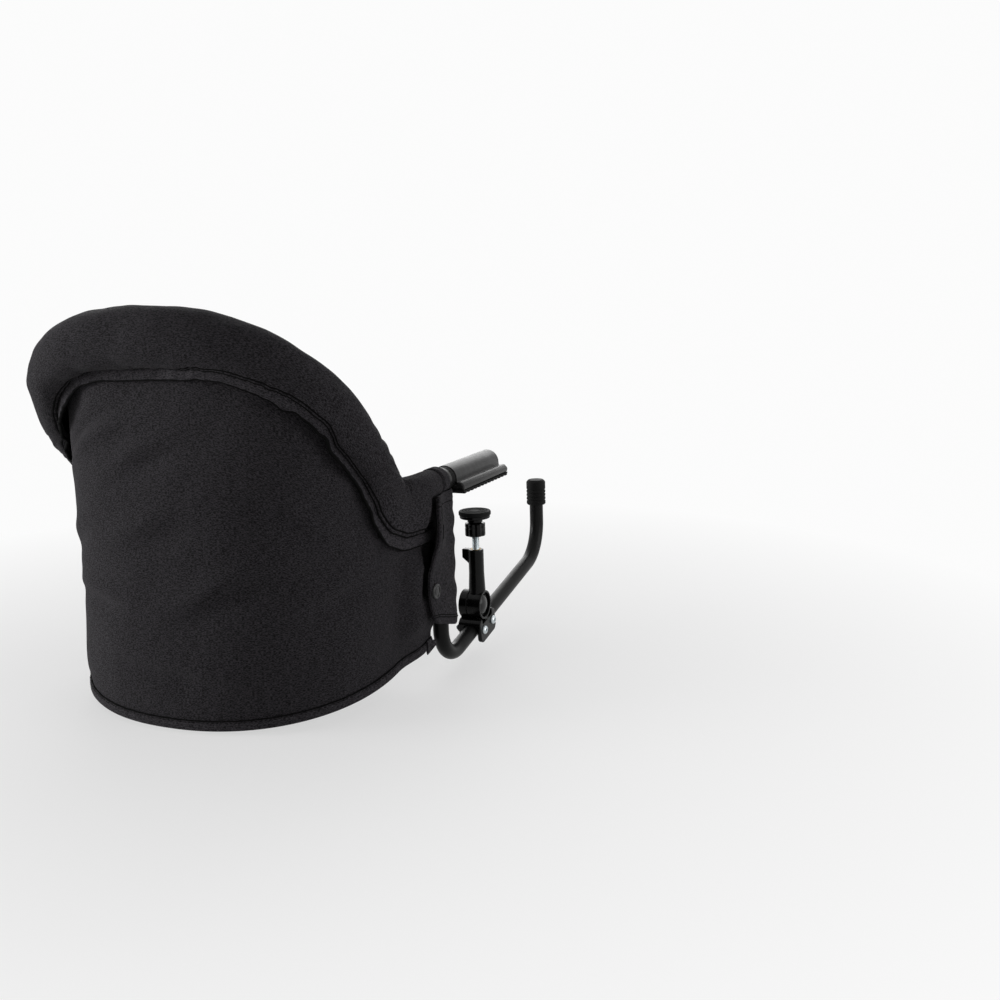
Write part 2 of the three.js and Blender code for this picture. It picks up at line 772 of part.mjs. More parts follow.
addPair(
  'clamp_saddle',
  'glossPlastic',
  cut(
    join(
      onTube(block(
        [-saddleHalfLength, -cheekOutside, -saddleDrop],
        [saddleHalfLength, cheekOutside, webTop],
      )),
      bar('y', hubRadius, hubInner, hubSplit - gap, [hubX, hubZ], hubSides),
    ),
    onTube(block(
      [-saddleHalfLength - overcut, -cheekInside, -saddleDrop - overcut],
      [saddleHalfLength + overcut, cheekInside, 0],
    )),
    onTube(bar('x', boreFor(tubeRadius), -saddleHalfLength - overcut, saddleHalfLength + overcut)),
    onTube(block(
      [-windowHalf, hubSplit - gap, hubRise - hubRadius - 2],
      [windowHalf, cheekOutside + overcut, webTop + overcut],
    )),
    bar('y', hubHole, hubInner - overcut, hubSplit, [hubX, hubZ]),
    screwHole(screwPlaces.front),
    screwHole(screwPlaces.rear),
  ),
);

const nutEnd = cheekOutside + gap + nutHeight;
const nutShape = cut(
  bar('y', nutRadius, -nutEnd, -cheekOutside - gap, [0, 0], 6),
  bar('y', boreFor(screwRadius, smallSides), -nutEnd - overcut, -cheekOutside, [0, 0], smallSides),
);
for (const [end, place] of Object.entries(screwPlaces)) {
  const seat = cheekOutside + gap;
  const screw = turned([
    [0, -nutEnd - screwTip],
    [screwRadius, -nutEnd - screwTip],
    [screwRadius, seat],
    [screwHeadRadius, seat],
    [screwHeadRadius, seat + screwHeadHeight * 0.5],
    [screwHeadRadius * 0.75, seat + screwHeadHeight],
    [screwHeadRadius * 0.4, seat + screwHeadHeight],
    [screwHeadRadius * 0.4, seat + screwHeadHeight * 0.4],
    [0, seat + screwHeadHeight * 0.4],
  ], roundSides);
  addPair(`saddle_screw_${end}`, 'zinc', onTube(screw.translate(place, 0, 0)));
  addPair(`saddle_nut_${end}`, 'zinc', onTube(nutShape.clone().translate(place, 0, 0)));
}

// Hub pivot: a rivet through the fixed half and the tower's ring.
const ringFloorFace = hubSplit + hubFloor;
const rivetHead = (seat, out) => [
  [pivotRadius, seat],
  [pivotHeadRadius, seat],
  [pivotHeadRadius - 0.5, seat + out * pivotHeadHeight],
  [0, seat + out * pivotHeadHeight],
];
addPair(
  'hub_pivot',
  'zinc',
  turned([
    ...rivetHead(hubInner - gap, -1).reverse(),
    ...rivetHead(ringFloorFace + gap, 1),
  ]).translate(hubX, 0, hubZ),
);

// Tower: the hub's turning ring and the post that holds the screw.
const spindleReach = spindleBottom - padDrop - 2 * gap;
const ringInside = hubRadius - hubRingWall;
const onScrew = (radius, from, to) => bar('z', radius, from, to, [hubX, towerOffset]);

addPair(
  'clamp_tower',
  'glossPlastic',
  cut(
    join(
      bar('y', hubRadius, hubSplit, hubOuter, [hubX, hubZ], hubSides),
      onScrew(towerRadius, hubZ, towerTop),
      block(
        [hubX - towerRadius * 0.6, towerOffset - towerRadius - towerLug, towerTop - towerLugHeight],
        [hubX + towerRadius * 0.6, towerOffset, towerTop],
      ),
    ),
    bar('y', ringInside, ringFloorFace, hubOuter + overcut, [hubX, hubZ], hubSides),
    bar('y', hubHole, hubSplit - overcut, ringFloorFace + overcut, [hubX, hubZ]),
    onScrew(boreFor(spindleRadius), spindleReach, towerTop + overcut),
    onScrew(boreFor(insertRadius), towerTop - insertLength - gap, towerTop + overcut),
  ),
);
addPair(
  'thread_insert',
  'brass',
  cut(
    onScrew(insertRadius, towerTop - insertLength, towerTop),
    onScrew(boreFor(spindleRadius), towerTop - insertLength - overcut, towerTop + overcut),
  ),
);

// Release button in the ring, on its conical spring.
const buttonRadius = ringInside * Math.cos(Math.PI / hubSides) - gap;
const buttonBack = ringFloorFace + gap + pivotHeadHeight + gap + buttonTravel;
addPair(
  'release_button',
  'greyPlastic',
  turned([
    [0, buttonBack],
    [buttonRadius, buttonBack],
    [buttonRadius, buttonBack + buttonThickness],
    [buttonRadius * 0.75, buttonBack + buttonThickness + buttonDome * 0.6],
    [buttonRadius * 0.4, buttonBack + buttonThickness + buttonDome],
    [0, buttonBack + buttonThickness + buttonDome],
  ], hubSides).translate(hubX, 0, hubZ),
);

function springGeometry() {
  const wide = buttonRadius - springWire;
  const narrow = pivotHeadRadius + gap + springWire;
  const low = ringFloorFace + gap + springWire / 2;
  const high = buttonBack - gap - springWire / 2;
  const steps = Math.round(springTurns * 12);
  const rings = Array.from({ length: steps + 1 }, (_, i) => {
    const share = i / steps;
    const angle = 2 * Math.PI * springTurns * share;
    const out = new THREE.Vector3(Math.cos(angle), 0, Math.sin(angle));
    const radius = THREE.MathUtils.lerp(wide, narrow, share);
    const centre = out.clone().multiplyScalar(radius).setY(THREE.MathUtils.lerp(low, high, share));
    return circleRing(centre, out, new THREE.Vector3(0, 1, 0), springWire / 2, 5);
  });
  return skin(rings);
}

addPair('button_spring', 'zinc', springGeometry().translate(hubX, 0, hubZ));

// Screw spindle, knob and the pad that bears on the table's underside.
const padTop = -tableThickness;
const rubberBottom = padTop - padRubberHeight;
const flangeTop = rubberBottom - gap;
const flangeBottom = flangeTop - padFlangeHeight;
const cupBottom = knobBottom + knobHeight + gap;
const spindleTop = cupBottom + spindleStub;

addPair('spindle', 'zinc', turned([
  [0, spindleBottom],
  [spindleRadius - 1, spindleBottom],
  [spindleRadius, spindleBottom + 1],
  [spindleRadius, spindleTop - 1],
  [spindleRadius - 1, spindleTop],
  [0, spindleTop],
]).rotateX(Math.PI / 2).translate(hubX, towerOffset, 0));

function knobGeometry() {
  const points = Array.from({ length: knobLobes * 6 }, (_, i) => {
    const angle = (2 * Math.PI * i) / (knobLobes * 6);
    const radius = knobRadius + knobLobe * Math.cos(knobLobes * angle);
    return new THREE.Vector2(radius * Math.cos(angle), radius * Math.sin(angle));
  });
  const body = new THREE.ExtrudeGeometry(new THREE.Shape(points), { depth: knobHeight, bevelEnabled: false });
  return cut(
    body.translate(hubX, towerOffset, knobBottom),
    onScrew(boreFor(spindleRadius), knobBottom - overcut, knobBottom + knobHeight + overcut),
  );
}

addPair('clamp_knob', 'glossPlastic', knobGeometry());
addPair(
  'pad_cup',
  'glossPlastic',
  cut(
    turned([
      [0, cupBottom],
      [padCupRadius, cupBottom],
      [padCupRadius, flangeBottom],
      [padRadius - 1, flangeBottom],
      [padRadius - 1, flangeTop],
      [0, flangeTop],
    ]).rotateX(Math.PI / 2).translate(hubX, towerOffset, 0),
    onScrew(boreFor(spindleRadius), cupBottom - overcut, spindleTop + gap),
  ),
);
addPair('pad_rubber', 'rubber', turned([
  [0, rubberBottom],
  [padRadius, rubberBottom],
  [padRadius, padTop - 1],
  [padRadius - 1, padTop],
  [0, padTop],
]).rotateX(Math.PI / 2).translate(hubX, towerOffset, 0));

export default chair;
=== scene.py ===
import math

import bmesh
import bpy
from mathutils import Matrix, Vector, noise


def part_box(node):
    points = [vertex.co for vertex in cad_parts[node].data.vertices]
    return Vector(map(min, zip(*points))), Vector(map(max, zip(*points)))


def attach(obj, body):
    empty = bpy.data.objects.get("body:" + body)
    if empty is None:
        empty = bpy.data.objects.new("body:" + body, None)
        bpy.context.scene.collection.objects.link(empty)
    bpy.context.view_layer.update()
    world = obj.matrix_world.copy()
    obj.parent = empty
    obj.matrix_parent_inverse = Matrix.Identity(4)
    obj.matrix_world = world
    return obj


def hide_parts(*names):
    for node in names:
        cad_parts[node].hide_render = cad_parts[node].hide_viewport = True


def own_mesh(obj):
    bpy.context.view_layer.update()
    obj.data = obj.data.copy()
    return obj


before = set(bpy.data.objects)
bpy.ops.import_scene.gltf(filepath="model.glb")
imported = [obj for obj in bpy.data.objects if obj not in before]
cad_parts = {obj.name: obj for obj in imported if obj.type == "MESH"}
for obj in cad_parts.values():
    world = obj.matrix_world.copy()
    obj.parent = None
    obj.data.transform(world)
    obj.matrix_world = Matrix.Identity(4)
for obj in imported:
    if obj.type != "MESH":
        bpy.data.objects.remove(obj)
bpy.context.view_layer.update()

# Hook-on table chair. Lengths are millimetres, turned into metres where a mesh is made.
mm = 0.001
scene = bpy.context.scene
sides = {"right": -1, "left": 1}

chair = {
    "span": 176,            # arms and uprights, to each side of the middle
    "tube": 8,
    "armHeight": 14.0,
    "start": -69,           # the hoop begins to bend here
    "sleeveFront": 4.5,
    "wallFront": -11.9,
    "tableUnder": -31,
}
rim = {"halfWidth": 168, "depth": 132.5, "top": 169, "power": 2.48, "bend": 5, "blend": 40, "armShare": 0.4}
base = {"halfWidth": 159, "depth": 138, "power": 2.2, "height": -149, "slope": 0.17}
pad = {"radius": 26.5, "sleeve": 14.0, "swell": 96}


def lerp(a, b, t):
    return a + (b - a) * t


def ease(value, low, high):
    t = min(max((value - low) / (high - low), 0), 1)
    return t * t * (3 - 2 * t)


def bell(value, middle, width):
    return math.exp(-(((value - middle) / width) ** 2))


foldGain = 1.6


def foldShape(height, across):
    # a ridge on one side of the line and a dip on the other
    return height * foldGain * across * math.exp(-across * across)


def wander(x, y=0.0, z=0.0):
    return noise.noise(Vector((x, y, z)))


def along(table, place):
    # a smooth reading between the rows of a short table, each (place, value, value)
    for low, high in zip(table, table[1:]):
        if place <= high[0]:
            t = ease(place, low[0], high[0])
            return [lerp(a, b, t) for a, b in zip(low[1:], high[1:])]
    return list(table[-1][1:])


# The rim curve and the base outline
def planPoint(place, halfWidth, depth, power, front):
    side = -1 if place < 0 else 1
    run = 1 - abs(place)
    if run < rim["armShare"]:
        return lerp(front, chair["start"], run / rim["armShare"]), side * halfWidth, 0.0
    angle = (run - rim["armShare"]) / (1 - rim["armShare"]) * math.pi / 2
    back = math.sin(angle) ** (2 / power)
    return chair["start"] - depth * back, side * halfWidth * max(math.cos(angle), 0) ** (2 / power), back


def armFlare(x):
    return (chair["span"] - rim["halfWidth"]) * ease(x, chair["start"], chair["start"] + rim["blend"])


def rimPoint(place, front):
    x, y, back = planPoint(place, rim["halfWidth"], rim["depth"], rim["power"], front)
    share = rim["bend"] / rim["depth"]
    rise = back * back * (1 + share) / (back + share)
    z = lerp(chair["armHeight"], rim["top"], rise)
    return Vector((x, y + math.copysign(armFlare(x), y), z))


def floorHeight(x):
    return base["height"] + (x - chair["wallFront"]) * base["slope"]


def basePoint(place, inset=0.0, front=None):
    front = chair["wallFront"] if front is None else front
    x, y = planPoint(place, base["halfWidth"] - inset, base["depth"] - inset, base["power"], front)[:2]
    return Vector((x, y + math.copysign(armFlare(x), y), floorHeight(x)))


def padRadius(x):
    return lerp(pad["radius"], pad["sleeve"], ease(x, chair["start"] - pad["swell"], chair["start"]))


def resample(points, step):
    run = [0.0]
    for a, b in zip(points, points[1:]):
        run.append(run[-1] + (b - a).length)
    count = max(2, round(run[-1] / step))
    made, k = [], 0
    for i in range(count + 1):
        goal = run[-1] * i / count
        while k < len(run) - 2 and run[k + 1] < goal:
            k += 1
        t = (goal - run[k]) / max(run[k + 1] - run[k], 1e-9)
        made.append(points[k].lerp(points[k + 1], min(max(t, 0), 1)))
    return made


def blurred(vectors, reach):
    made = []
    for i in range(len(vectors)):
        near = vectors[max(i - reach, 0):i + reach + 1]
        made.append(sum(near, Vector((0, 0, 0))).normalized())
    return made


def tangentsOf(points):
    last = len(points) - 1
    return [(points[min(i + 1, last)] - points[max(i - 1, 0)]).normalized() for i in range(last + 1)]


# Mesh helpers
def addMesh(name, points, faces, uvs=None, sharp=40):
    mesh = bpy.data.meshes.new(name)
    mesh.from_pydata([Vector(p) * mm for p in points], [], faces)
    if uvs:
        layer = mesh.uv_layers.new(name="weave")
        for loop, uv in zip(layer.data, [uv for face in uvs for uv in face]):
            loop.uv = (uv[0] * mm, uv[1] * mm)
    mesh.validate()
    edit = bmesh.new()
    edit.from_mesh(mesh)
    bmesh.ops.recalc_face_normals(edit, faces=edit.faces)
    edit.to_mesh(mesh)
    edit.free()
    piece = bpy.data.objects.new(name, mesh)
    scene.collection.objects.link(piece)
    soften(piece, sharp)
    return piece


def soften(piece, sharp=40):
    piece.data.polygons.foreach_set("use_smooth", [True] * len(piece.data.polygons))
    piece.data.set_sharp_from_angle(angle=math.radians(sharp))


def loftParts(rings, ringClosed=True, cap=None):
    # skin over rings of equal counts, with lengths along and across for the weave
    count, turns = len(rings[0]), len(rings)
    points = [p for ring in rings for p in ring]
    rows = [0.0]
    for a, b in zip(rings, rings[1:]):
        rows.append(rows[-1] + sum((q - p).length for p, q in zip(a, b)) / count)
    middle = rings[turns // 2]
    cols = [0.0]
    for i in range(count):
        cols.append(cols[-1] + (middle[(i + 1) % count] - middle[i]).length)
    faces, uvs = [], []
    for r in range(turns - 1):
        for i in range(count if ringClosed else count - 1):
            n = (i + 1) % count
            faces.append((r * count + i, r * count + n, (r + 1) * count + n, (r + 1) * count + i))
            corners = ((i, r), (i + 1, r), (i + 1, r + 1), (i, r + 1))
            uvs.append(tuple((cols[col], rows[row]) for col, row in corners))
    for r in ((0, turns - 1) if cap else ()):
        loops = [tuple(range(count))]
        if cap == "strip":
            loops = [(i, i + 1, count - 2 - i, count - 1 - i) for i in range(count // 2 - 1)]
        for loop in loops:
            faces.append(tuple(r * count + i for i in loop))
            uvs.append(tuple((cols[i], rows[r]) for i in loop))
    return points, faces, uvs


def loft(name, rings, ringClosed=True, cap=None, sharp=40):
    return addMesh(name, *loftParts(rings, ringClosed, cap), sharp=sharp)


def joined(parts):
    points, faces = [], []
    for part in parts:
        shift = len(points)
        points += part[0]
        faces += [tuple(i + shift for i in face) for face in part[1]]
    return points, faces


def rounded(points, radius, steps=4, closed=False):
    # an outline with each corner eased by a small curve
    made, count = [], len(points)
    for i, corner in enumerate(points):
        if not closed and i in (0, count - 1):
            made.append(Vector(corner))
            continue
        here, before, after = Vector(corner), Vector(points[i - 1]), Vector(points[(i + 1) % count])
        back = min(radius, 0.45 * (before - here).length)
        ahead = min(radius, 0.45 * (after - here).length)
        first = here + (before - here).normalized() * back
        last = here + (after - here).normalized() * ahead
        for k in range(steps + 1):
            t = k / steps
            made.append(first.lerp(here, t).lerp(here.lerp(last, t), t))
    return made


def axisPoint(axis, centre, ringX, ringY, height):
    # local axes are forward, outward and up; the two other coordinates come from the centre
    if axis == "x":
        return Vector((height, centre[0] + ringX, centre[1] + ringY))
    if axis == "y":
        return Vector((centre[0] + ringX, height, centre[1] + ringY))
    return Vector((centre[0] + ringX, centre[1] + ringY, height))


def turnedRings(profile, axis, centre, count=48):
    # a profile row is (radius, place on the axis); a radius may depend on the angle
    rings = []
    for radius, height in profile:
        ring = []
        for i in range(count):
            angle = 2 * math.pi * i / count
            reach = max(radius(angle) if callable(radius) else radius, 0.02)
            ring.append(axisPoint(axis, centre, reach * math.cos(angle), reach * math.sin(angle), height))
        rings.append(ring)
    return rings


def turnedParts(profile, axis, centre, count=48, corner=0.0):
    rows = rounded([(r, h) for r, h in profile], corner) if corner else profile
    return loftParts(turnedRings(rows, axis, centre, count), cap="fan")[:2]


def rod(radius, low, high, axis, centre, count=48):
    return turnedParts([(0, low), (radius, low), (radius, high), (0, high)], axis, centre, count)


def extrudedParts(outline, low, high, edge, axis="y", steps=4):
    # a prism with rounded rims; the outline lies across the axis
    count = len(outline)
    flat = [Vector((p[0], p[1])) for p in outline]
    area = sum(a.x * b.y - b.x * a.y for a, b in zip(flat, flat[1:] + flat[:1]))
    inward = []
    for i in range(count):
        run = (flat[(i + 1) % count] - flat[i - 1]).normalized()
        inward.append(Vector((-run.y, run.x)) * (1 if area > 0 else -1))
    rows = []
    for k in range(steps + 1):
        turn = math.pi / 2 * k / steps
        rows.append((edge * (1 - math.sin(turn)), low + edge * (1 - math.cos(turn))))
    rows += [(inset, low + high - height) for inset, height in reversed(rows)]
    rings = []
    for inset, height in rows:
        ring = [p + n * inset for p, n in zip(flat, inward)]
        rings.append([axisPoint(axis, (0, 0), p.x, p.y, height) for p in ring])
    return loftParts(rings, cap="fan")[:2]


def boxParts(low, high):
    spans = list(zip(low, high))
    corners = [Vector((x, y, z)) for x in spans[0] for y in spans[1] for z in spans[2]]
    faces = [(0, 1, 3, 2), (4, 6, 7, 5), (0, 4, 5, 1), (2, 3, 7, 6), (0, 2, 6, 4), (1, 5, 7, 3)]
    return corners, faces


def onSide(points, side):
    return [Vector((p[0], side * (chair["span"] + p[1]), p[2])) for p in points]


def placed(part, side):
    return onSide(part[0], side), part[1]


def moved(part, matrix):
    return [matrix @ Vector(p) for p in part[0]], part[1]


def tubeRings(path, radius, count=24):
    # a round section carried along a path without twisting
    tangents = tangentsOf(path)
    across = tangents[0].orthogonal().normalized()
    turns = [2 * math.pi * i / count for i in range(count)]
    rings = []
    for point, tangent in zip(path, tangents):
        across = (across - tangent * across.dot(tangent)).normalized()
        other = tangent.cross(across)
        reach = radius(point) if callable(radius) else radius
        rings.append([point + (across * math.cos(turn) + other * math.sin(turn)) * reach for turn in turns])
    return rings


def strandParts(path, radius, count=8):
    return loftParts(tubeRings(path, radius, count), cap="fan")[:2]


def applied(piece):
    # the mesh with its modifiers worked in
    bpy.context.view_layer.update()
    graph = bpy.context.evaluated_depsgraph_get()
    mesh = bpy.data.meshes.new_from_object(piece.evaluated_get(graph))
    piece.modifiers.clear()
    old = piece.data
    piece.data = mesh
    bpy.data.meshes.remove(old)
    return piece


def cutBy(piece, tool):
    cutter = piece.modifiers.new("cut", "BOOLEAN")
    cutter.operation = "DIFFERENCE"
    cutter.object = tool


def remesh(piece, voxel):
    grid = piece.modifiers.new("remesh", "REMESH")
    grid.mode = "VOXEL"
    grid.voxel_size = voxel * mm


def moulded(name, adds, cuts, voxel=0.45, passes=7):
    # one moulding: the parts are cut, run together and eased at every edge
    blanks = []
    tools = [addMesh(f"{name}Cut{i}", *cut) for i, cut in enumerate(cuts)]
    for i, part in enumerate(adds):
        blank = addMesh(f"{name}Add{i}", *part)
        for tool in tools:
            cutBy(blank, tool)
        blanks.append(applied(blank))
    edit = bmesh.new()
    for blank in blanks:
        edit.from_mesh(blank.data)
    mesh = bpy.data.meshes.new(name)
    edit.to_mesh(mesh)
    edit.free()
    for scrap in tools + blanks:
        bpy.data.objects.remove(scrap)
    piece = bpy.data.objects.new(name, mesh)
    scene.collection.objects.link(piece)
    remesh(piece, voxel)
    easing = piece.modifiers.new("ease", "SMOOTH")
    easing.factor = 0.5
    easing.iterations = passes
    applied(piece)
    soften(piece, 180)
    return piece


def boxMap(piece):
    # weave coordinates from the side that each face looks to
    mesh = piece.data
    layer = mesh.uv_layers.get("weave") or mesh.uv_layers.new(name="weave")
    for face in mesh.polygons:
        n = [abs(c) for c in face.normal]
        first, second = ((1, 2), (0, 2), (0, 1))[n.index(max(n))]
        for k in face.loop_indices:
            p = mesh.vertices[mesh.loops[k].vertex_index].co
            layer.data[k].uv = (p[first], p[second])


def coat(piece, finish):
    piece.data.materials.clear()
    piece.data.materials.append(finishes[finish])


def finishPiece(piece, finish, body, slot, *nodes):
    coat(piece, finish)
    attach(piece, body)
    if nodes:
        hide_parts(*nodes)
    return piece


def sewnPiece(piece, finish, *nodes):
    return finishPiece(piece, finish, "frame", "charcoal_cloth", *nodes)


# Shader building
def link(tree, value, socket):
    if isinstance(value, bpy.types.NodeSocket):
        tree.links.new(value, socket)
    else:
        socket.default_value = value


def mathNode(tree, operation, *values):
    node = tree.nodes.new("ShaderNodeMath")
    node.operation = operation
    for socket, value in zip(node.inputs, values):
        link(tree, value, socket)
    return node.outputs[0]


def scaled(tree, value, factor):
    return mathNode(tree, "MULTIPLY", value, factor)


def rangeNode(tree, value, low, high, toLow=0.0, toHigh=1.0):
    node = tree.nodes.new("ShaderNodeMapRange")
    for socket, number in zip(node.inputs[:5], (value, low, high, toLow, toHigh)):
        link(tree, number, socket)
    return node.outputs[0]


def mixNode(tree, share, a, b):
    node = tree.nodes.new("ShaderNodeMix")
    node.data_type = "RGBA"
    link(tree, share, node.inputs["Factor"])
    colours = [s for s in node.inputs if s.type == "RGBA"]
    link(tree, a, colours[0])
    link(tree, b, colours[1])
    return next(s for s in node.outputs if s.type == "RGBA")


def noiseNode(tree, vector, scale, detail=2.0, rough=0.5):
    node = tree.nodes.new("ShaderNodeTexNoise")
    link(tree, vector, node.inputs["Vector"])
    link(tree, scale, node.inputs["Scale"])
    link(tree, detail, node.inputs["Detail"])
    link(tree, rough, node.inputs["Roughness"])
    return node.outputs[0]


def combine(tree, x, y, z=0.0):
    node = tree.nodes.new("ShaderNodeCombineXYZ")
    for socket, value in zip(node.inputs, (x, y, z)):
        link(tree, value, socket)
    return node.outputs[0]


def objectPlace(tree):
    return tree.nodes.new("ShaderNodeTexCoord").outputs["Object"]


def weavePlace(tree):
    node = tree.nodes.new("ShaderNodeUVMap")
    node.uv_map = "weave"
    split = tree.nodes.new("ShaderNodeSeparateXYZ")
    tree.links.new(node.outputs[0], split.inputs[0])
    return split.outputs[0], split.outputs[1]


def effect(name, inputs, outputs):
    # an empty shader group with its named sockets
    tree = bpy.data.node_groups.new(name, "ShaderNodeTree")
    for label, kind, value in inputs:
        socket = tree.interface.new_socket(label, in_out="INPUT", socket_type=f"NodeSocket{kind}")
        socket.default_value = value
    for label, kind in outputs:
        tree.interface.new_socket(label, in_out="OUTPUT", socket_type=f"NodeSocket{kind}")
    return tree, tree.nodes.new("NodeGroupInput").outputs, tree.nodes.new("NodeGroupOutput").inputs


# Melange cloth: repeats in each metre, along and across the weave
melange = {"fibres": (1350.0, 450.0), "slubs": (640.0, 120.0), "clouds": 14.0}


def streaks(tree, name, rough):
    places = [scaled(tree, way, rate) for way, rate in zip(weavePlace(tree), melange[name])]
    return noiseNode(tree, combine(tree, *places), 1.0, 2.0, rough)


def weaveEffect():
    # fine yarns under a speckle of light and dark fibres
    tree, given, out = effect(
        "heatherWeave",
        [("Dark", "Color", (0.01, 0.01, 0.01, 1)), ("Light", "Color", (0.04, 0.04, 0.04, 1)),
         ("Yarns", "Float", 1500.0), ("Speckle", "Float", 1.0)],
        [("Color", "Color"), ("Height", "Float"), ("Roughness", "Float")],
    )
    waves = []
    for way in weavePlace(tree):
        waves.append(mathNode(tree, "SINE", scaled(tree, scaled(tree, way, given["Yarns"]), math.pi)))
    over = mathNode(tree, "MULTIPLY", *waves)
    fibres = streaks(tree, "fibres", 0.7)
    slubs = streaks(tree, "slubs", 0.6)
    cloudy = noiseNode(tree, objectPlace(tree), melange["clouds"])
    speckle = mathNode(tree, "MULTIPLY", mathNode(tree, "SUBTRACT", fibres, 0.5), given["Speckle"])
    mixed = mathNode(tree, "ADD", speckle, mathNode(tree, "MULTIPLY_ADD", slubs, 0.9, -0.25))
    mixed = mathNode(tree, "ADD", mixed, scaled(tree, cloudy, 0.12))
    tone = rangeNode(tree, mixed, 0.0, 0.52)
    tree.links.new(mixNode(tree, tone, given["Dark"], given["Light"]), out["Color"])
    rise = mathNode(tree, "ADD", scaled(tree, over, 0.5), scaled(tree, fibres, 1.2))
    tree.links.new(rise, out["Height"])
    tree.links.new(rangeNode(tree, fibres, 0.3, 0.7, 0.82, 0.96), out["Roughness"])
    return tree


def grainEffect():
    # fine moulded or sprayed grain with slow changes of sheen
    tree, given, out = effect(
        "fineGrain",
        [("Scale", "Float", 900.0), ("Blotch", "Float", 30.0),
         ("Low", "Float", 0.3), ("High", "Float", 0.5)],
        [("Height", "Float"), ("Roughness", "Float"), ("Mask", "Float")],
    )
    place = objectPlace(tree)
    fine = noiseNode(tree, place, given["Scale"], 2.0, 0.6)
    slow = noiseNode(tree, place, given["Blotch"], 4.0, 0.65)
    both = mathNode(tree, "ADD", scaled(tree, fine, 0.35), scaled(tree, slow, 0.65))
    tree.links.new(fine, out["Height"])
    tree.links.new(rangeNode(tree, both, 0.35, 0.65, given["Low"], given["High"]), out["Roughness"])
    tree.links.new(slow, out["Mask"])
    return tree


def edgeHighlightWearEffect():
    # painted highlight along sharp edges, with a little rubbed wear, broken up by a fine noise
    tree, given, out = effect(
        "paintedEdgeHighlightAndWear",
        [("Base", "Color", (0.02, 0.02, 0.02, 1)), ("Rubbed", "Color", (0.08, 0.08, 0.08, 1)),
         ("Amount", "Float", 0.5)],
        [("Color", "Color"), ("Mask", "Float")],
    )
    bend = tree.nodes.new("ShaderNodeNewGeometry").outputs["Pointiness"]
    edge = rangeNode(tree, bend, 0.52, 0.62)
    patch = rangeNode(tree, noiseNode(tree, objectPlace(tree), 160.0, 3.0, 0.6), 0.4, 0.65)
    mask = mathNode(tree, "MULTIPLY", mathNode(tree, "MULTIPLY", edge, patch), given["Amount"])
    tree.links.new(mixNode(tree, mask, given["Base"], given["Rubbed"]), out["Color"])
    tree.links.new(mask, out["Mask"])
    return tree


effects = {"weave": weaveEffect(), "grain": grainEffect(), "edgeHighlightWear": edgeHighlightWearEffect()}


def placeEffect(tree, name, **values):
    node = tree.nodes.new("ShaderNodeGroup")
    node.node_tree = effects[name]
    for label, value in values.items():
        link(tree, value, node.inputs[label])
    return node.outputs


def newFinish(name, **fixed):
    material = bpy.data.materials.new(name)
    material.use_nodes = True
    tree = material.node_tree
    shader = tree.nodes["Principled BSDF"]
    for label, value in fixed.items():
        shader.inputs[label].default_value = value
    return material, tree, shader.inputs


def bumped(tree, height, normal, strength, distance):
    node = tree.nodes.new("ShaderNodeBump")
    node.inputs["Strength"].default_value = strength
    node.inputs["Distance"].default_value = distance * mm
    tree.links.new(height, node.inputs["Height"])
    tree.links.new(node.outputs[0], normal)


def grey(value):
    return (value, value, value, 1)


def dyed(value):
    # black dye, a little weak in green
    return (value, value * 0.93, value * 1.035, 1)


def clothFinish(name, dark, light, yarns, speckle=1.0, bump=0.5):
    material, tree, shader = newFinish(
        name, **{"Sheen Weight": 0.035, "Sheen Roughness": 0.4, "Specular IOR Level": 0.08})
    weave = placeEffect(tree, "weave", Dark=dyed(dark), Light=dyed(light), Yarns=yarns, Speckle=speckle)
    tree.links.new(weave["Color"], shader["Base Color"])
    tree.links.new(weave["Roughness"], shader["Roughness"])
    bumped(tree, weave["Height"], shader["Normal"], bump, 0.35)
    return material


def plasticFinish(name, tone, highlightWorn, low, high, grain=700.0, bump=0.06, amount=0.5, **fixed):
    material, tree, shader = newFinish(name, **fixed)
    made = placeEffect(tree, "grain", Scale=grain, Blotch=24.0, Low=low, High=high)
    # the second tone lightens sharp edges: a painted highlight, with a little wear
    edgeHighlightWear = placeEffect(tree, "edgeHighlightWear", Base=tone, Rubbed=highlightWorn, Amount=amount)
    tree.links.new(edgeHighlightWear["Color"], shader["Base Color"])
    tree.links.new(made["Roughness"], shader["Roughness"])
    bumped(tree, made["Height"], shader["Normal"], bump, 0.2)
    return material


def metalFinish(name, tone, dull, low, high):
    material, tree, shader = newFinish(name, Metallic=1.0)
    made = placeEffect(tree, "grain", Scale=500.0, Blotch=60.0, Low=low, High=high)
    tree.links.new(mixNode(tree, made["Mask"], dull, tone), shader["Base Color"])
    tree.links.new(made["Roughness"], shader["Roughness"])
    bumped(tree, made["Height"], shader["Normal"], 0.08, 0.1)
    return material


def woodFinish():
    # birch plywood: grain along X, plies through the thickness
    material, tree, shader = newFinish("plywood", Roughness=0.62)
    split = tree.nodes.new("ShaderNodeSeparateXYZ")
    tree.links.new(objectPlace(tree), split.inputs[0])
    stretch = (14.0, 220.0, 700.0)
    stretched = combine(tree, *(scaled(tree, way, size) for way, size in zip(split.outputs, stretch)))
    grain = noiseNode(tree, stretched, 1.0, 4.0, 0.6)
    tone = rangeNode(tree, grain, 0.3, 0.7)
    tree.links.new(mixNode(tree, tone, (0.36, 0.22, 0.11, 1), (0.55, 0.39, 0.22, 1)), shader["Base Color"])
    bumped(tree, grain, shader["Normal"], 0.2, 0.2)
    return material


# Ribs across each strap and lines along it, in metres apart
webbingRibs = {"across": 0.0011, "along": 0.0016}


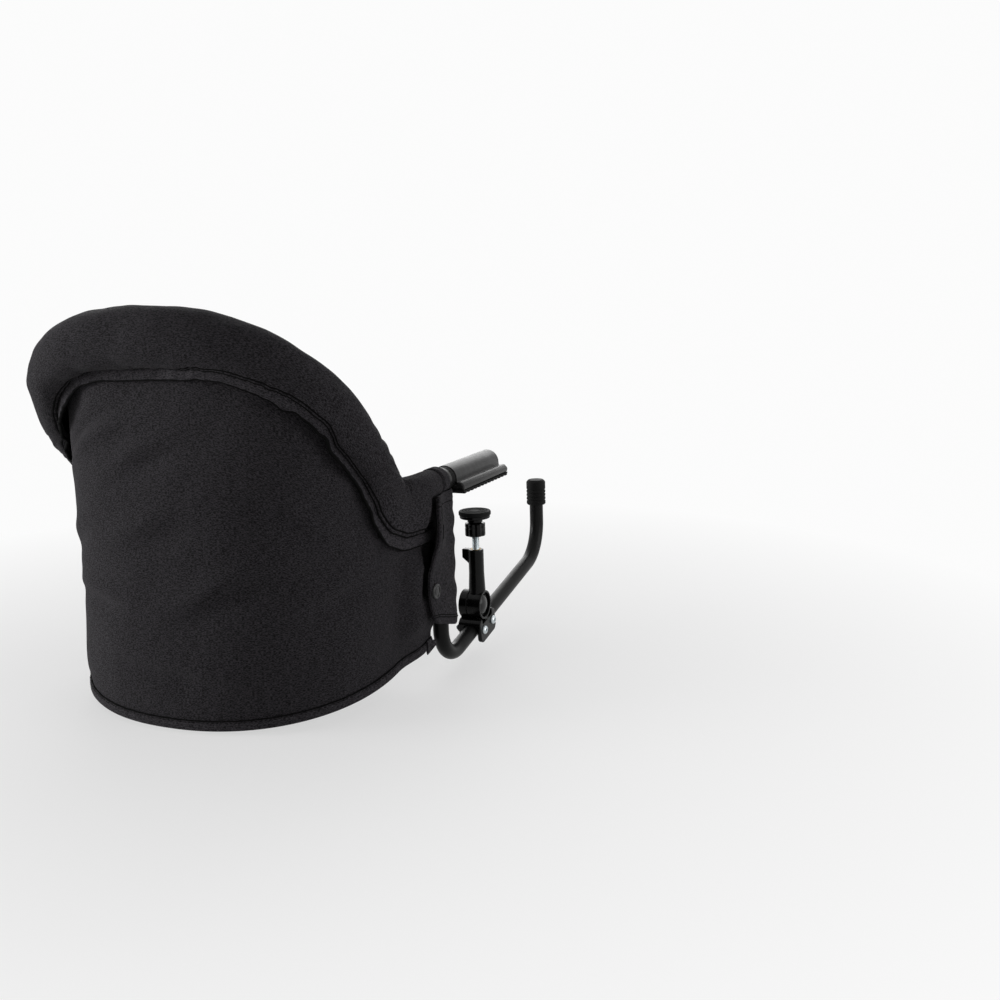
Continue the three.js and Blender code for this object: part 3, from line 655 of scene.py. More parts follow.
def webbingFinish():
    material, tree, shader = newFinish(
        "webbing", Roughness=0.78, **{"Sheen Weight": 0.15, "Specular IOR Level": 0.3})
    u, v = weavePlace(tree)
    ribs = mathNode(tree, "SINE", scaled(tree, v, 2 * math.pi / webbingRibs["across"]))
    lines = mathNode(tree, "SINE", scaled(tree, u, 2 * math.pi / webbingRibs["along"]))
    height = mathNode(tree, "ADD", scaled(tree, ribs, 0.5), scaled(tree, lines, 0.3))
    fuzz = noiseNode(tree, objectPlace(tree), 400.0)
    # the tone follows the ribs' height: painted shade in the grooves and painted light on the ridges, with a
    # fine fuzz of the yarn's own
    tone = rangeNode(tree, mathNode(tree, "ADD", height, fuzz), -0.3, 1.2)
    tree.links.new(mixNode(tree, tone, grey(0.006), grey(0.026)), shader["Base Color"])
    bumped(tree, height, shader["Normal"], 0.6, 0.25)
    return material


def glint(level):
    return {"Specular IOR Level": level}


finishes = {
    "cloth": clothFinish("charcoalCloth", 0.007, 0.0535, 1500.0, speckle=2.9),
    # the binding cloth is the charcoal cloth made a little lighter: painted light for the strips that catch
    # the light; the hem, tabs, piping and strap patches share it
    "binding": clothFinish("bindingCloth", 0.009, 0.066, 1600.0, speckle=2.4, bump=0.4),
    "lining": clothFinish("liningCloth", 0.01, 0.036, 1800.0, speckle=1.4, bump=0.4),
    # the second tone of each plastic finish is the painted highlight on its sharp edges, with a little wear
    "thread": plasticFinish("thread", grey(0.0035), grey(0.008), 0.75, 0.9,
                            grain=2600.0, bump=0.3, amount=0.2, **glint(0.05)),
    "webbing": webbingFinish(),
    "powder": plasticFinish("powderCoat", grey(0.0075), grey(0.03), 0.3, 0.42,
                            grain=1500.0, bump=0.12, **glint(0.1)),
    "grip": plasticFinish("gripPlastic", grey(0.011), grey(0.04), 0.34, 0.46,
                          grain=1100.0, bump=0.1, **glint(0.2)),
    "gloss": plasticFinish("glossPlastic", grey(0.0035), grey(0.012), 0.18, 0.3,
                           grain=300.0, bump=0.02, amount=0.2, **glint(0.14)),
    "grey": plasticFinish("greyPlastic", grey(0.012), grey(0.04), 0.16, 0.26,
                          grain=800.0, bump=0.03, **glint(0.25)),
    "rubber": plasticFinish("rubber", grey(0.005), grey(0.02), 0.62, 0.82,
                            grain=900.0, bump=0.2, **glint(0.12)),
    "zinc": metalFinish("zinc", (0.66, 0.71, 0.73, 1), (0.42, 0.46, 0.48, 1), 0.2, 0.38),
    "brass": metalFinish("brass", (0.62, 0.44, 0.18, 1), (0.42, 0.29, 0.12, 1), 0.25, 0.45),
    "wood": woodFinish(),
}
print("finishes made")

# Camera and stage
view = {
    "place": Vector((-1025.3, -679.6, 218.3)),
    "forward": Vector((0.90325, 0.38341, -0.19269)),
    "roll": -0.0281,
    "lens": 42.53,
}


def addCamera():
    right = Vector((view["forward"].y, -view["forward"].x, 0)).normalized()
    up = right.cross(view["forward"]).normalized()
    cosRoll, sinRoll = math.cos(view["roll"]), math.sin(view["roll"])
    axisX = right * cosRoll + up * sinRoll
    axisY = up * cosRoll - right * sinRoll
    data = bpy.data.cameras.new("photoCamera")
    data.lens = view["lens"]
    data.sensor_width = 36
    data.clip_start = 0.05
    camera = bpy.data.objects.new("photoCamera", data)
    turn = Matrix((axisX, axisY, -view["forward"])).transposed().to_4x4()
    camera.matrix_world = Matrix.Translation(view["place"] * mm) @ turn
    scene.collection.objects.link(camera)
    scene.camera = camera


# A pale floor that runs out into the white of the room
stage = {
    "floor": -186.0, "tone": 0.9, "sky": 0.11, "white": 0.97,
    "near": 100.0, "far": 900.0, "least": 0.5, "reach": 9000.0,
}


def seenRays(tree):
    paths = tree.nodes.new("ShaderNodeLightPath").outputs
    direct = mathNode(tree, "MAXIMUM", paths["Is Camera Ray"], paths["Is Glossy Ray"])
    return mathNode(tree, "MAXIMUM", direct, paths["Is Transmission Ray"])


def addStage():
    reach, height = stage["reach"], stage["floor"]
    corners = [(x * reach, y * reach, height) for x, y in ((-1, -1), (1, -1), (1, 1), (-1, 1))]
    floor = addMesh("floor", corners, [(0, 1, 2, 3)])
    material, tree, shader = newFinish("paleFloor", Roughness=0.7, **glint(0.2))
    dust = rangeNode(tree, noiseNode(tree, objectPlace(tree), 3.0, 4.0), 0.3, 0.7)
    pale = mixNode(tree, dust, grey(stage["tone"]), grey(stage["tone"] + 0.02))
    tree.links.new(pale, shader["Base Color"])
    distance = tree.nodes.new("ShaderNodeVectorMath")
    distance.operation = "LENGTH"
    tree.links.new(objectPlace(tree), distance.inputs[0])
    near, far = stage["near"] * mm, stage["far"] * mm
    away = rangeNode(tree, distance.outputs["Value"], near, far, stage["least"])
    white = tree.nodes.new("ShaderNodeEmission")
    white.inputs["Strength"].default_value = stage["white"]
    mixed = tree.nodes.new("ShaderNodeMixShader")
    tree.links.new(mathNode(tree, "MULTIPLY", away, seenRays(tree)), mixed.inputs[0])
    tree.links.new(tree.nodes["Principled BSDF"].outputs[0], mixed.inputs[1])
    tree.links.new(white.outputs[0], mixed.inputs[2])
    tree.links.new(mixed.outputs[0], tree.nodes["Material Output"].inputs["Surface"])
    floor.data.materials.append(material)
    world = bpy.data.worlds.new("studio")
    scene.world = world
    world.use_nodes = True
    tree = world.node_tree
    background = tree.nodes["Background"]
    background.inputs["Color"].default_value = (1, 1, 1, 1)
    strength = rangeNode(tree, seenRays(tree), 0.0, 1.0, stage["sky"], stage["white"])
    tree.links.new(strength, background.inputs["Strength"])


# Broad soft lamps, each given by the direction it shines from
lamps = {
    "key": {"from": (-0.42, 0.9, 0.06), "spread": 34, "power": 3.5},
    "side": {"from": (0.1, -0.95, 0.12), "spread": 44, "power": 1.3},
    "top": {"from": (0.1, 0.1, 1.0), "spread": 80, "power": 0.1},
    "front": {"from": (0.85, 0.35, 0.42), "spread": 50, "power": 1.15},
}


def addLamps():
    for name, lamp in lamps.items():
        data = bpy.data.lights.new(name, "SUN")
        data.angle = math.radians(lamp["spread"])
        data.energy = lamp["power"]
        piece = bpy.data.objects.new(name, data)
        piece.rotation_euler = Vector(lamp["from"]).to_track_quat("Z", "Y").to_euler()
        scene.collection.objects.link(piece)


addCamera()
addStage()
addLamps()
scene.view_settings.view_transform = "Standard"
print("camera, stage and lamps made")

# The flap's rear edge, which swings forward towards the top; the cloth beneath falls back from it
flapEdge = {"rear": -45, "forward": 12, "low": -80, "high": -14, "gap": 6.0, "blend": 6, "foot": -98}


def flapRear(z):
    return flapEdge["rear"] + flapEdge["forward"] * ease(z, flapEdge["low"], flapEdge["high"])


def underFlap(point, lead):
    start = flapRear(point.z) - lead
    return ease(point.x, start, start + flapEdge["blend"]) * ease(point.z, flapEdge["foot"], flapEdge["low"])


# Padded rim cover: sleeve on the arms, thick roll round the back, skirt down to the seam on the flanks
cover = {
    "step": 3.0,
    "fine": 0.6,            # closer sections at the cuffs
    "wall": 2.4,
    "spread": 13.0,         # the sections turn over this length at the bend
    "innerTurn": 55,        # the inside seam, in degrees below the level
    "slotTurn": 32,         # the arm sleeve is open below for the joint
    "skirtRise": 3.0,
    "skirtTurn": 0.15,      # the skirt falls away from the roll below this angle
    "seamRows": 18,
    "seamStep": 0.45,
    "rows": (1.6, 4.8),     # the two sewn rows, from the seam
    "rowDepths": (1.3, 1.2),
    "rowWidth": 0.8,
    "sections": 100,
    "cuff": (-10.5, -8.1),  # sewn rows at the sleeve's end
    "cuffRise": 0.8,
    "cuffDepth": 0.9,
    "cuffWidth": 0.55,
    "mouth": 0.9,           # the sleeve's end is drawn in by this
    # distance from the back's middle, then outward and upward of the rim tube
    "seam": [
        (-387, 4, -44), (-318, 4, -45.5), (-304, 4, -39.5), (-291, -1, -34), (-278, -2.5, -26.5),
        (-252, -4, -20.5), (-214, 4, -22.5), (-180, 13, -15.5), (-153, 15, -15), (-126, 15, -17),
        (-96, 14, -19), (-64, 11, -22.5), (-40, 4, -26), (-12, -1, -28), (38, -3, -28), (78, -2, -23.5),
        (108, -1, -20.5), (138, 2, -25), (156, 2, -27.5), (192, -2, -26), (205, -6.5, -25),
        (217, -3, -24.5), (252, -4, -20.5), (278, -2.5, -26.5), (291, -1, -34), (304, 4, -39.5),
        (318, 4, -45.5), (387, 4, -44),
    ],
    # creases towards each bend: distance and angle at the start, angle gained for each millimetre, depth
    "creases": [
        (212, -1.25, 0.021, 1.3), (226, -1.15, 0.0215, 1.0),
        (240, -1.1, 0.024, 0.9), (206, -0.75, 0.019, 0.9),
    ],
}


def rimFrames():
    dense = [rimPoint(lerp(-1, 1, i / 6000), chair["sleeveFront"]) for i in range(6001)]
    centres = resample(dense, cover["step"])
    reach = round(cover["spread"] / cover["step"])
    tangents = blurred(blurred(tangentsOf(centres), reach), reach)
    made, middle = [], (len(centres) - 1) / 2
    length = sum((b - a).length for a, b in zip(centres, centres[1:]))
    for i, (centre, tangent) in enumerate(zip(centres, tangents)):
        outward = Vector((-tangent.y, tangent.x, 0)).normalized()
        made.append({
            "s": (i - middle) * length / (len(centres) - 1),
            "centre": centre,
            "outward": outward,
            "up": tangent.cross(outward).normalized(),
            "radius": padRadius(centre.x),
        })
    return closerCuffs(made)


def closerCuffs(frames):
    made = [frames[0]]
    parts = round(cover["step"] / cover["fine"])
    for before, after in zip(frames, frames[1:]):
        split = parts if max(before["centre"].x, after["centre"].x) > cover["cuff"][0] - 3 else 1
        for k in range(1, split):
            made.append({key: lerp(before[key], after[key], k / split) for key in before})
        made.append(after)
    return made


rimRun = rimFrames()


# Forms of the roll: distance from the back's middle and angle round the roll, each with its spread
press = {"place": (-135, 75), "share": 0.22}
scallops = {"place": (247, 21), "angle": (1.35, 0.75), "height": 2.6, "pitch": 17, "level": 0.6}
rays = {"place": (303, 16), "angle": (0.7, 0.8), "height": 1.3, "pitch": 8, "slant": 2}
dent = {"place": (188, 28), "angle": (-0.1, 0.35), "height": 2.0}
crease = {"width": 0.1, "start": (0, 12), "end": (58, 80)}
pucker = {
    "above": 0.12, "spread": 0.3, "height": 0.9, "pitch": 11,
    "stray": 5, "strayRun": 26, "least": 0.4, "changeRun": 37,
}
# height, length along the roll, rate round it and seed
lumps = ((1.8, 42, 1.2, 2.0), (0.6, 16, 2.6, 7.0))


def squeezed(s, angle):
    # the roll is pressed flatter on its outer face along the right flank
    return 1 - press["share"] * bell(s, *press["place"]) * max(math.cos(angle), 0) ** 2


def formHeight(form, run, angle):
    return form["height"] * bell(run, *form["place"]) * bell(angle, *form["angle"])


def wrinkles(s, angle):
    # scallops above each bend, short rays at the bend, a dent beside it and slanting creases on the flank
    run = abs(s)
    wave = abs(math.sin(math.pi * run / scallops["pitch"])) - scallops["level"]
    made = formHeight(scallops, run, angle) * wave
    turn = 2 * math.pi * run / rays["pitch"] + rays["slant"] * angle
    made += formHeight(rays, run, angle) * math.sin(turn)
    made -= formHeight(dent, run, angle)
    for start, low, climb, depth in cover["creases"]:
        gone = run - start
        off = (angle - low - climb * gone) / crease["width"]
        made += foldShape(depth, off) * ease(gone, *crease["start"]) * (1 - ease(gone, *crease["end"]))
    return made


def coverRadius(s, angle, radius, seamAngle, seamReach):
    reach = radius * squeezed(s, angle)
    if angle < cover["skirtTurn"]:
        fall = (cover["skirtTurn"] - angle) / (cover["skirtTurn"] - seamAngle)
        reach += (seamReach - reach) * fall ** cover["skirtRise"]
    swell = radius / pad["radius"]
    reach += swell * sum(height * wander(s / run, angle * rate, seed) for height, run, rate, seed in lumps)
    turn = 2 * math.pi * s / pucker["pitch"] + pucker["stray"] * wander(s / pucker["strayRun"])
    gathered = bell(angle, seamAngle + pucker["above"], pucker["spread"]) * math.sin(turn)
    reach += pucker["height"] * swell * gathered * (pucker["least"] + wander(s / pucker["changeRun"], 3.0))
    return reach + wrinkles(s, angle)


def coverAngles(at):
    onArm = at["centre"].x > chair["wallFront"] - 1
    a, b = along(cover["seam"], at["s"])
    if onArm:
        turn = math.radians(cover["slotTurn"])
        a, b = pad["sleeve"] * math.cos(turn), -pad["sleeve"] * math.sin(turn)
    first, reach = math.atan2(b, a), math.hypot(a, b)
    last = math.pi + math.radians(cover["slotTurn" if onArm else "innerTurn"])
    return first, last, reach, onArm


def coverPoint(at, angle, sink=0.0):
    first, _, seamReach, onArm = coverAngles(at)
    reach = coverRadius(at["s"], angle, at["radius"], first, seamReach)
    x = at["centre"].x
    if onArm:
        reach += cover["cuffRise"] * ease(x, cover["cuff"][0], cover["cuff"][0] + 1)
        reach -= sum(cover["cuffDepth"] * bell(x, row, cover["cuffWidth"]) for row in cover["cuff"])
        reach -= cover["mouth"] * ease(x, chair["sleeveFront"] - 1.0, chair["sleeveFront"])
    else:
        fromSeam = (angle - first) * seamReach
        rows = zip(cover["rows"], cover["rowDepths"])
        reach -= sum(depth * bell(fromSeam, row, cover["rowWidth"]) for row, depth in rows)
    way = at["outward"] * math.cos(angle) + at["up"] * math.sin(angle)
    point = at["centre"] + way * (reach - sink)
    return point - at["outward"] * flapEdge["gap"] * underFlap(point, 4) * ease(-angle, 0.35, 0.8)


def coverRing(at):
    first, last, seamReach, _ = coverAngles(at)
    angles = [first + cover["seamStep"] * k / seamReach for k in range(cover["seamRows"])]
    rest = cover["sections"]
    angles += [lerp(angles[-1], last, i / rest) for i in range(1, rest + 1)]
    outer = [coverPoint(at, angle) for angle in angles]
    inner = [coverPoint(at, angle, cover["wall"]) for angle in angles]
    return outer + inner[::-1]


def addCover():
    piece = loft("rimCover", [coverRing(at) for at in rimRun], cap="strip")
    sewnPiece(piece, "cloth", "rim_pad")


# Flat binding below the cover's seam, with two pleats on the right flank
binding = {
    "width": 11.0, "narrow": 7.5, "thick": 1.8, "tuck": 1.4, "columns": 8, "sink": 0.8, "uneven": 0.08,
    "wave": 0.4, "wavePitch": 12, "lean": 0.5,
    "leanFrom": (3, 13),    # the seam's place outward of the tube, as the lean begins and is full
    "flank": (150, 190),    # the narrow stretch begins and ends between these distances
    "flankEnd": (285, 312),
    "flankLift": 0.5,
    # distance from the back's middle and the width gained there
    "pleats": [(-148, 3.0), (-160, -2.0), (-185, 2.4), (-196, -1.6)],
    "pleatRun": 6,
    "pleatLift": 0.25,
}


def strapRing(points, thick, normal):
    # a flat section with soft edges, over points across the strap
    count = len(points) - 1
    outer, inner = [], []
    for i, point in enumerate(points):
        share = 2 * i / count - 1
        half = thick / 2 * max(1 - abs(share) ** 6, 0.08) ** 0.5
        outer.append(point + normal * half)
        inner.append(point - normal * half)
    return outer + inner[::-1]


def onFlank(s):
    return ease(abs(s), *binding["flank"]) * (1 - ease(abs(s), *binding["flankEnd"]))


def bindingRing(at):
    s = at["s"]
    a, b = along(cover["seam"], s)
    lean = ease(a, *binding["leanFrom"]) * binding["lean"]
    way = Vector((-lean, -math.sqrt(1 - lean * lean)))
    normal2 = Vector((-way.y, way.x)).normalized()
    width = lerp(binding["width"], binding["narrow"], onFlank(s))
    width *= 1 + binding["uneven"] * wander(s / 40, 5.0)
    pleat = sum(size * bell(s, place, binding["pleatRun"]) for place, size in binding["pleats"])
    turn = 2 * math.pi * s / binding["wavePitch"] + 5 * wander(s / 30, 9.0)
    lift = binding["wave"] * math.sin(turn) + binding["flankLift"] * onFlank(s)
    points = []
    for i in range(binding["columns"] + 1):
        share = i / binding["columns"]
        flat = Vector((a, b)) + way * (share * (width + pleat) - binding["tuck"])
        flat += normal2 * (lift * share - binding["sink"] + binding["pleatLift"] * abs(pleat) * share)
        points.append(at["centre"] + at["outward"] * flat.x + at["up"] * flat.y)
    normal = (at["outward"] * normal2.x + at["up"] * normal2.y).normalized()
    return strapRing(points, binding["thick"], normal)


def sewnRun():
    return [at for at in rimRun if at["centre"].x < chair["wallFront"] - 1]


def addBinding():
    piece = loft("rimBinding", [bindingRing(at) for at in sewnRun()], cap="strip")
    sewnPiece(piece, "binding")


# Dark sewn lines: two rows on the roll, and a near-black line along the binding's turned lower edge that is
# partly its sewn edge and mostly painted shadow under that edge
seamLine = {
    "row": 0.8, "sink": -0.45, "edge": 0.8, "shadowMore": 0.8, "cuff": 0.55, "count": 8,
    "leftShadowFrom": (90, 130),  # the binding edge's painted shadow line is thicker beyond these distances on the left
}


def addThread(name, path, radius):
    sewnPiece(loft(name, tubeRings(path, radius, seamLine["count"]), cap="fan"), "thread")


def addThreads(name, paths, radius):
    parts = [strandParts(path, radius, seamLine["count"]) for path in paths]
    sewnPiece(addMesh(name, *joined(parts)), "thread")


def addSeamLines():
    for i, row in enumerate(cover["rows"]):
        path = []
        for at in sewnRun():
            first, _, seamReach, _ = coverAngles(at)
            path.append(coverPoint(at, first + row / seamReach, seamLine["sink"]))
        addThread(f"rollSeam{i + 1}", path, seamLine["row"])
    # the binding's lower edge: a dark tube that stands in for the shadow under the edge, made thicker on the
    # flank and the left where that shadow is wider
    path = [bindingRing(at)[binding["columns"]] for at in sewnRun()]
    stretch = [max(onFlank(at["s"]), ease(at["s"], *seamLine["leftShadowFrom"])) for at in sewnRun()]
    rings = tubeRings(path, seamLine["edge"], seamLine["count"])
    for ring, point, more in zip(rings, path, stretch):
        for k, spot in enumerate(ring):
            ring[k] = point + (spot - point) * (1 + more * seamLine["shadowMore"] / seamLine["edge"])
    sewnPiece(loft("bindingEdgeShadow", rings, cap="fan"), "thread")


addCover()
addBinding()
addSeamLines()
print("rim cover and binding made")

# Tub: outer cloth and lining in one shell, open at the front
tub = {
    "outer": 2.8, "inner": -4.0, "columns": 220, "rows": 96, "drawIn": 10, "drawRun": 60, "topTuck": 0.5,
    "height": 340, "slack": 2.9, "reach": 0.62, "liningRipple": 0.4,
    # slack folds: run and height share at both ends, half width, height of the ridge above the line
    "folds": [
        (268, 0.33, 204, 0.44, 13, 2.5), (412, 0.80, 340, 0.83, 11, -2.2), (332, 0.70, 283, 0.76, 12, 1.8),
        (448, 0.53, 400, 0.55, 14, 1.1), (420, 0.36, 352, 0.33, 12, 2.0), (96, 0.65, 60, 0.74, 6, 0.9),
        (90, 0.58, 54, 0.68, 6, 0.8), (165, 0.34, 108, 0.47, 14, 1.6), (335, 0.50, 278, 0.56, 14, 1.5),
        (335, 0.17, 238, 0.13, 12, 1.4), (205, 0.66, 150, 0.60, 15, 1.3),
    ],
}


def wallTop(place):
    point = rimPoint(place, chair["wallFront"])
    drawn = tub["drawIn"] * ease(chair["start"] - point.x, 0, tub["drawRun"])
    inward = Vector((chair["start"] - point.x, -point.y, 0)).normalized()
    return Vector((point.x, point.y, point.z - padRadius(point.x) * tub["topTuck"])) + inward * drawn


def wallPlaces():
    # even spacing along the base outline
    dense = [lerp(-1, 1, i / 3000) for i in range(3001)]
    points = [basePoint(p) for p in dense]
    run = [0.0]
    for a, b in zip(points, points[1:]):
        run.append(run[-1] + (b - a).length)
    made, k = [], 0
    for i in range(tub["columns"] + 1):
        goal = run[-1] * i / tub["columns"]
        while k < len(run) - 2 and run[k + 1] < goal:
            k += 1
        made.append((lerp(dense[k], dense[k + 1], (goal - run[k]) / (run[k + 1] - run[k])), goal))
    return made


wallRun = wallPlaces()
seatPlaces = [place for place, run in wallRun][::2]


def wallOutward(place):
    before, after = basePoint(max(place - 0.004, -1)), basePoint(min(place + 0.004, 1))
    return Vector((before.y - after.y, after.x - before.x, 0)).normalized()


def slackFolds(run, v):
    here = Vector((run, v * tub["height"]))
    made = 0.0
    for r0, v0, r1, v1, width, height in tub["folds"]:
        a, b = Vector((r0, v0 * tub["height"])), Vector((r1, v1 * tub["height"]))
        way = (b - a).normalized()
        upward = Vector((way.y, -way.x)) if way.x < 0 else Vector((-way.y, way.x))
        off = here - (a + b) / 2
        across = off.dot(upward) / width
        made += foldShape(height, across) * bell(off.dot(way), 0, (b - a).length * tub["reach"])
    return made * tub["slack"]


# How the wall's cloth stands out or in. A place runs from -1 at the right front edge to 1 at the left one,
# a level from 0 at the base to 1 at the rim
hollow = {"right": -2.4, "left": -0.6, "change": (-0.1, 0.2), "top": 0.9, "from": (0.1, 0.35)}
loose = {"run": 70, "slant": 2.1, "broad": 1.9, "fine": 0.9, "finer": 2.6}
footBulge = {"height": 3.0, "level": (0.12, 0.13), "from": (0.15, 0.35), "to": (0.6, 0.8)}
topBulge = {"height": 8.5, "place": (-0.27, 0.16), "level": (0.6, 0.92)}
pocket = {"height": 13.0, "x": (-78, -46), "from": (0.08, 0.26), "to": (0.54, 0.73)}
hemWave = {"height": 0.9, "level": (0.1, 0.08), "run": 19, "settled": (0.0, 0.08)}


def wallFold(run, v, place, point):
    # a hollow at mid height, slanting folds, a bulge at the left foot, a fuller top on the right flank
    # and a pocket at each front edge
    sunk = lerp(hollow["right"], hollow["left"], ease(place, *hollow["change"]))
    sunk *= math.sin(math.pi * min(v / hollow["top"], 1))
    sunk *= ease(abs(place), *hollow["from"])
    slant = run / loose["run"] + v * loose["slant"]
    folds = loose["broad"] * wander(slant, v * 0.9, 3.0)
    folds += loose["fine"] * wander(slant * loose["finer"], v * 2.4, 11.0)
    folds += slackFolds(run, v)
    foot = footBulge["height"] * bell(v, *footBulge["level"])
    foot = foot * ease(place, *footBulge["from"]) * (1 - ease(place, *footBulge["to"]))
    full = topBulge["height"] * bell(place, *topBulge["place"]) * ease(v, *topBulge["level"])
    front = ease(basePoint(place).x, *pocket["x"]) * ease(v, *pocket["from"]) * (1 - ease(v, *pocket["to"]))
    front *= 1 - underFlap(point, -1)
    wave = hemWave["height"] * bell(v, *hemWave["level"]) * wander(run / hemWave["run"], v * 3, 31.0)
    return (sunk + folds + foot + wave) * ease(v, *hemWave["settled"]) + full + pocket["height"] * front


def wallRing(place, run):
    low, high, outward = basePoint(place), wallTop(place), wallOutward(place)
    outer, inner = [], []
    for i in range(tub["rows"] + 1):
        v = i / tub["rows"]
        point = low.lerp(high, v)
        fold = wallFold(run, v, place, point)
        outer.append(point + outward * (tub["outer"] + fold))
        ripple = tub["liningRipple"] * wander(run / 30, v * 3, 20.0)
        inner.append(point + outward * (tub["inner"] + min(fold, 0) + ripple))
    return outer + inner[::-1]


def addTub():
    piece = loft("tubShell", [wallRing(place, run) for place, run in wallRun], cap="strip")
    sewnPiece(piece, "cloth", "tub_wall")


# Hem round the base
hem = {
    "height": 9.0, "thick": 3.4, "stand": 4.0, "below": 0.8, "lean": 0.8, "line": 0.7, "columns": 8,
    "wave": 0.3, "wavePitch": 15,
}


def hemRing(place, run):
    low, outward = basePoint(place), wallOutward(place)
    wave = hem["wave"] * math.sin(2 * math.pi * run / hem["wavePitch"] + 4 * wander(run / 40, 3.0))
    points = []
    for i in range(hem["columns"] + 1):
        share = i / hem["columns"]
        rise = share * hem["height"] - hem["below"]
        stand = hem["stand"] + wave * share - hem["lean"] * share
        points.append(low + Vector((0, 0, rise)) + outward * stand)
    return strapRing(points, hem["thick"], outward)


def addHem():
    rings = [hemRing(place, run) for place, run in wallRun]
    sewnPiece(loft("baseHem", rings, cap="strip"), "binding")
    addThread("hemLine", [ring[hem["columns"]] for ring in rings], hem["line"])


# Floor of the tub, which sags a little in its middle
floorPanel = {"inset": 4.3, "thick": 3.6, "sag": 1.2, "rings": 14}


def addFloorPanel():
    middleX = (chair["wallFront"] + chair["start"] - base["depth"]) / 2
    top, bottom = [], []
    for k in range(floorPanel["rings"] + 1):
        share = max(1 - k / floorPanel["rings"], 0.01)
        upper, lower = [], []
        for place in seatPlaces:
            edge = basePoint(place, floorPanel["inset"])
            x, y = lerp(middleX, edge.x, share), edge.y * share
            ripple = 0.5 * wander(x / 30, y / 30, 4.0)
            edgeDrop = ease(share, 0.0, 0.9)
            sag = floorPanel["sag"] * (edgeDrop - 1) + ripple * (1 - edgeDrop)
            lower.append(Vector((x, y, floorHeight(x) + sag)))
            upper.append(Vector((x, y, floorHeight(x) + floorPanel["thick"])))
        top.append(upper)
        bottom.append(lower)
    sewnPiece(loft("floorPanel", top[::-1] + bottom, cap="fan"), "lining", "tub_floor")


addTub()
addHem()
addFloorPanel()
print("tub, hem and floor panel made")

# Folded strap tab at each lower front corner
tab = {
    "rear": -26, "front": -11.5, "thick": 2.2, "height": 14, "sink": 4.0, "stand": 3.4, "out": 4.5,
    "point": 9.0, "steps": 26, "columns": 8,
}


def addTabs():
    for name, side in sides.items():
        foot = basePoint(side * 0.999)
        rings = []
        for i in range(tab["steps"] + 1):
            turn = math.pi * (i / tab["steps"])
            x = lerp(tab["rear"], tab["front"], math.sin(turn))
            gap = tab["thick"] * 1.15 * math.cos(turn)
            tip = ease(x, tab["rear"] + 4, tab["front"])
            y = foot.y + side * (tab["stand"] + gap + tab["out"] * tip)
            low = floorHeight(x) - tab["sink"] + 0.5 * tab["point"] * tip
            rise = tab["height"] - tab["point"] * tip
            row = [Vector((x, y, low + rise * k / tab["columns"])) for k in range(tab["columns"] + 1)]
            normal = Vector((math.sin(turn), side * math.cos(turn), 0)).normalized()
            rings.append(strapRing(row, tab["thick"], normal))
        sewnPiece(loft(f"{name}CornerTab", rings, cap="strip", sharp=60), "binding")


# Flap round each upright: hemmed above and below, with a rolled rear edge
flap = {
    "top": 6.5, "bottom": -123, "inside": 13.7, "topTuck": 1.2, "thick": 2.2, "rearOut": 10.7,
    "innerX": -30, "innerOut": -13.4, "hem": 10, "edge": 7.5, "rows": 96, "columns": 78, "corner": 9,
    "footIn": 5, "footRun": (88, 122), "droop": 12, "droopRun": 70, "droopRear": 0.35, "seam": 0.5,
    "slit": (-37, -23, 9),  # low, high and the column of a short sewn slit
}

# How the flap's cloth lies: turned edges, ripples down the front and a swing of the rear part
drape = {
    "turnRun": 0.8, "hemFold": 0.5, "rollFold": 2.2,
    "grooveWidth": 0.9, "grooveShare": 0.55, "endShare": 0.55,
    "front": (-6, 9), "frontLift": 1.0, "wave": 0.55, "wavePitch": 23, "short": 1.3, "long": 1.4,
    "rear": (8, 34), "swing": 5.5, "swingRun": (-74, -34), "rearRipple": 1.1,
    "dent": 1.2, "dentAt": (-88, 16), "fine": 0.4,
}


def flapPath(z):
    # the rear edge is rounded off at the lower corner
    inside = flap["inside"] - flap["topTuck"] * ease(z, -8, 4)
    radius = inside + flap["thick"] / 2
    half = flap["thick"] / 2
    near = max(flap["corner"] - (z - flap["bottom"]), 0) / flap["corner"]
    rounding = flap["corner"] * (1 - math.sqrt(max(1 - near * near, 0)))
    rearX = flapRear(z) + 1.2 * wander(z / 24, 3.0) + rounding
    rearX += flap["footIn"] * ease(-z, *flap["footRun"])
    share = -rearX / 45
    points = [Vector((rearX, lerp(inside, flap["rearOut"], share) + half, 0))]
    for i in range(25):
        turn = math.pi / 2 - math.pi * i / 24
        points.append(Vector((radius * math.cos(turn), radius * math.sin(turn), 0)))
    points.append(Vector((flap["innerX"] + rounding, flap["innerOut"] - half, 0)))
    length = sum((b - a).length for a, b in zip(points, points[1:]))
    return resample(points, length / flap["columns"]), length / flap["columns"]


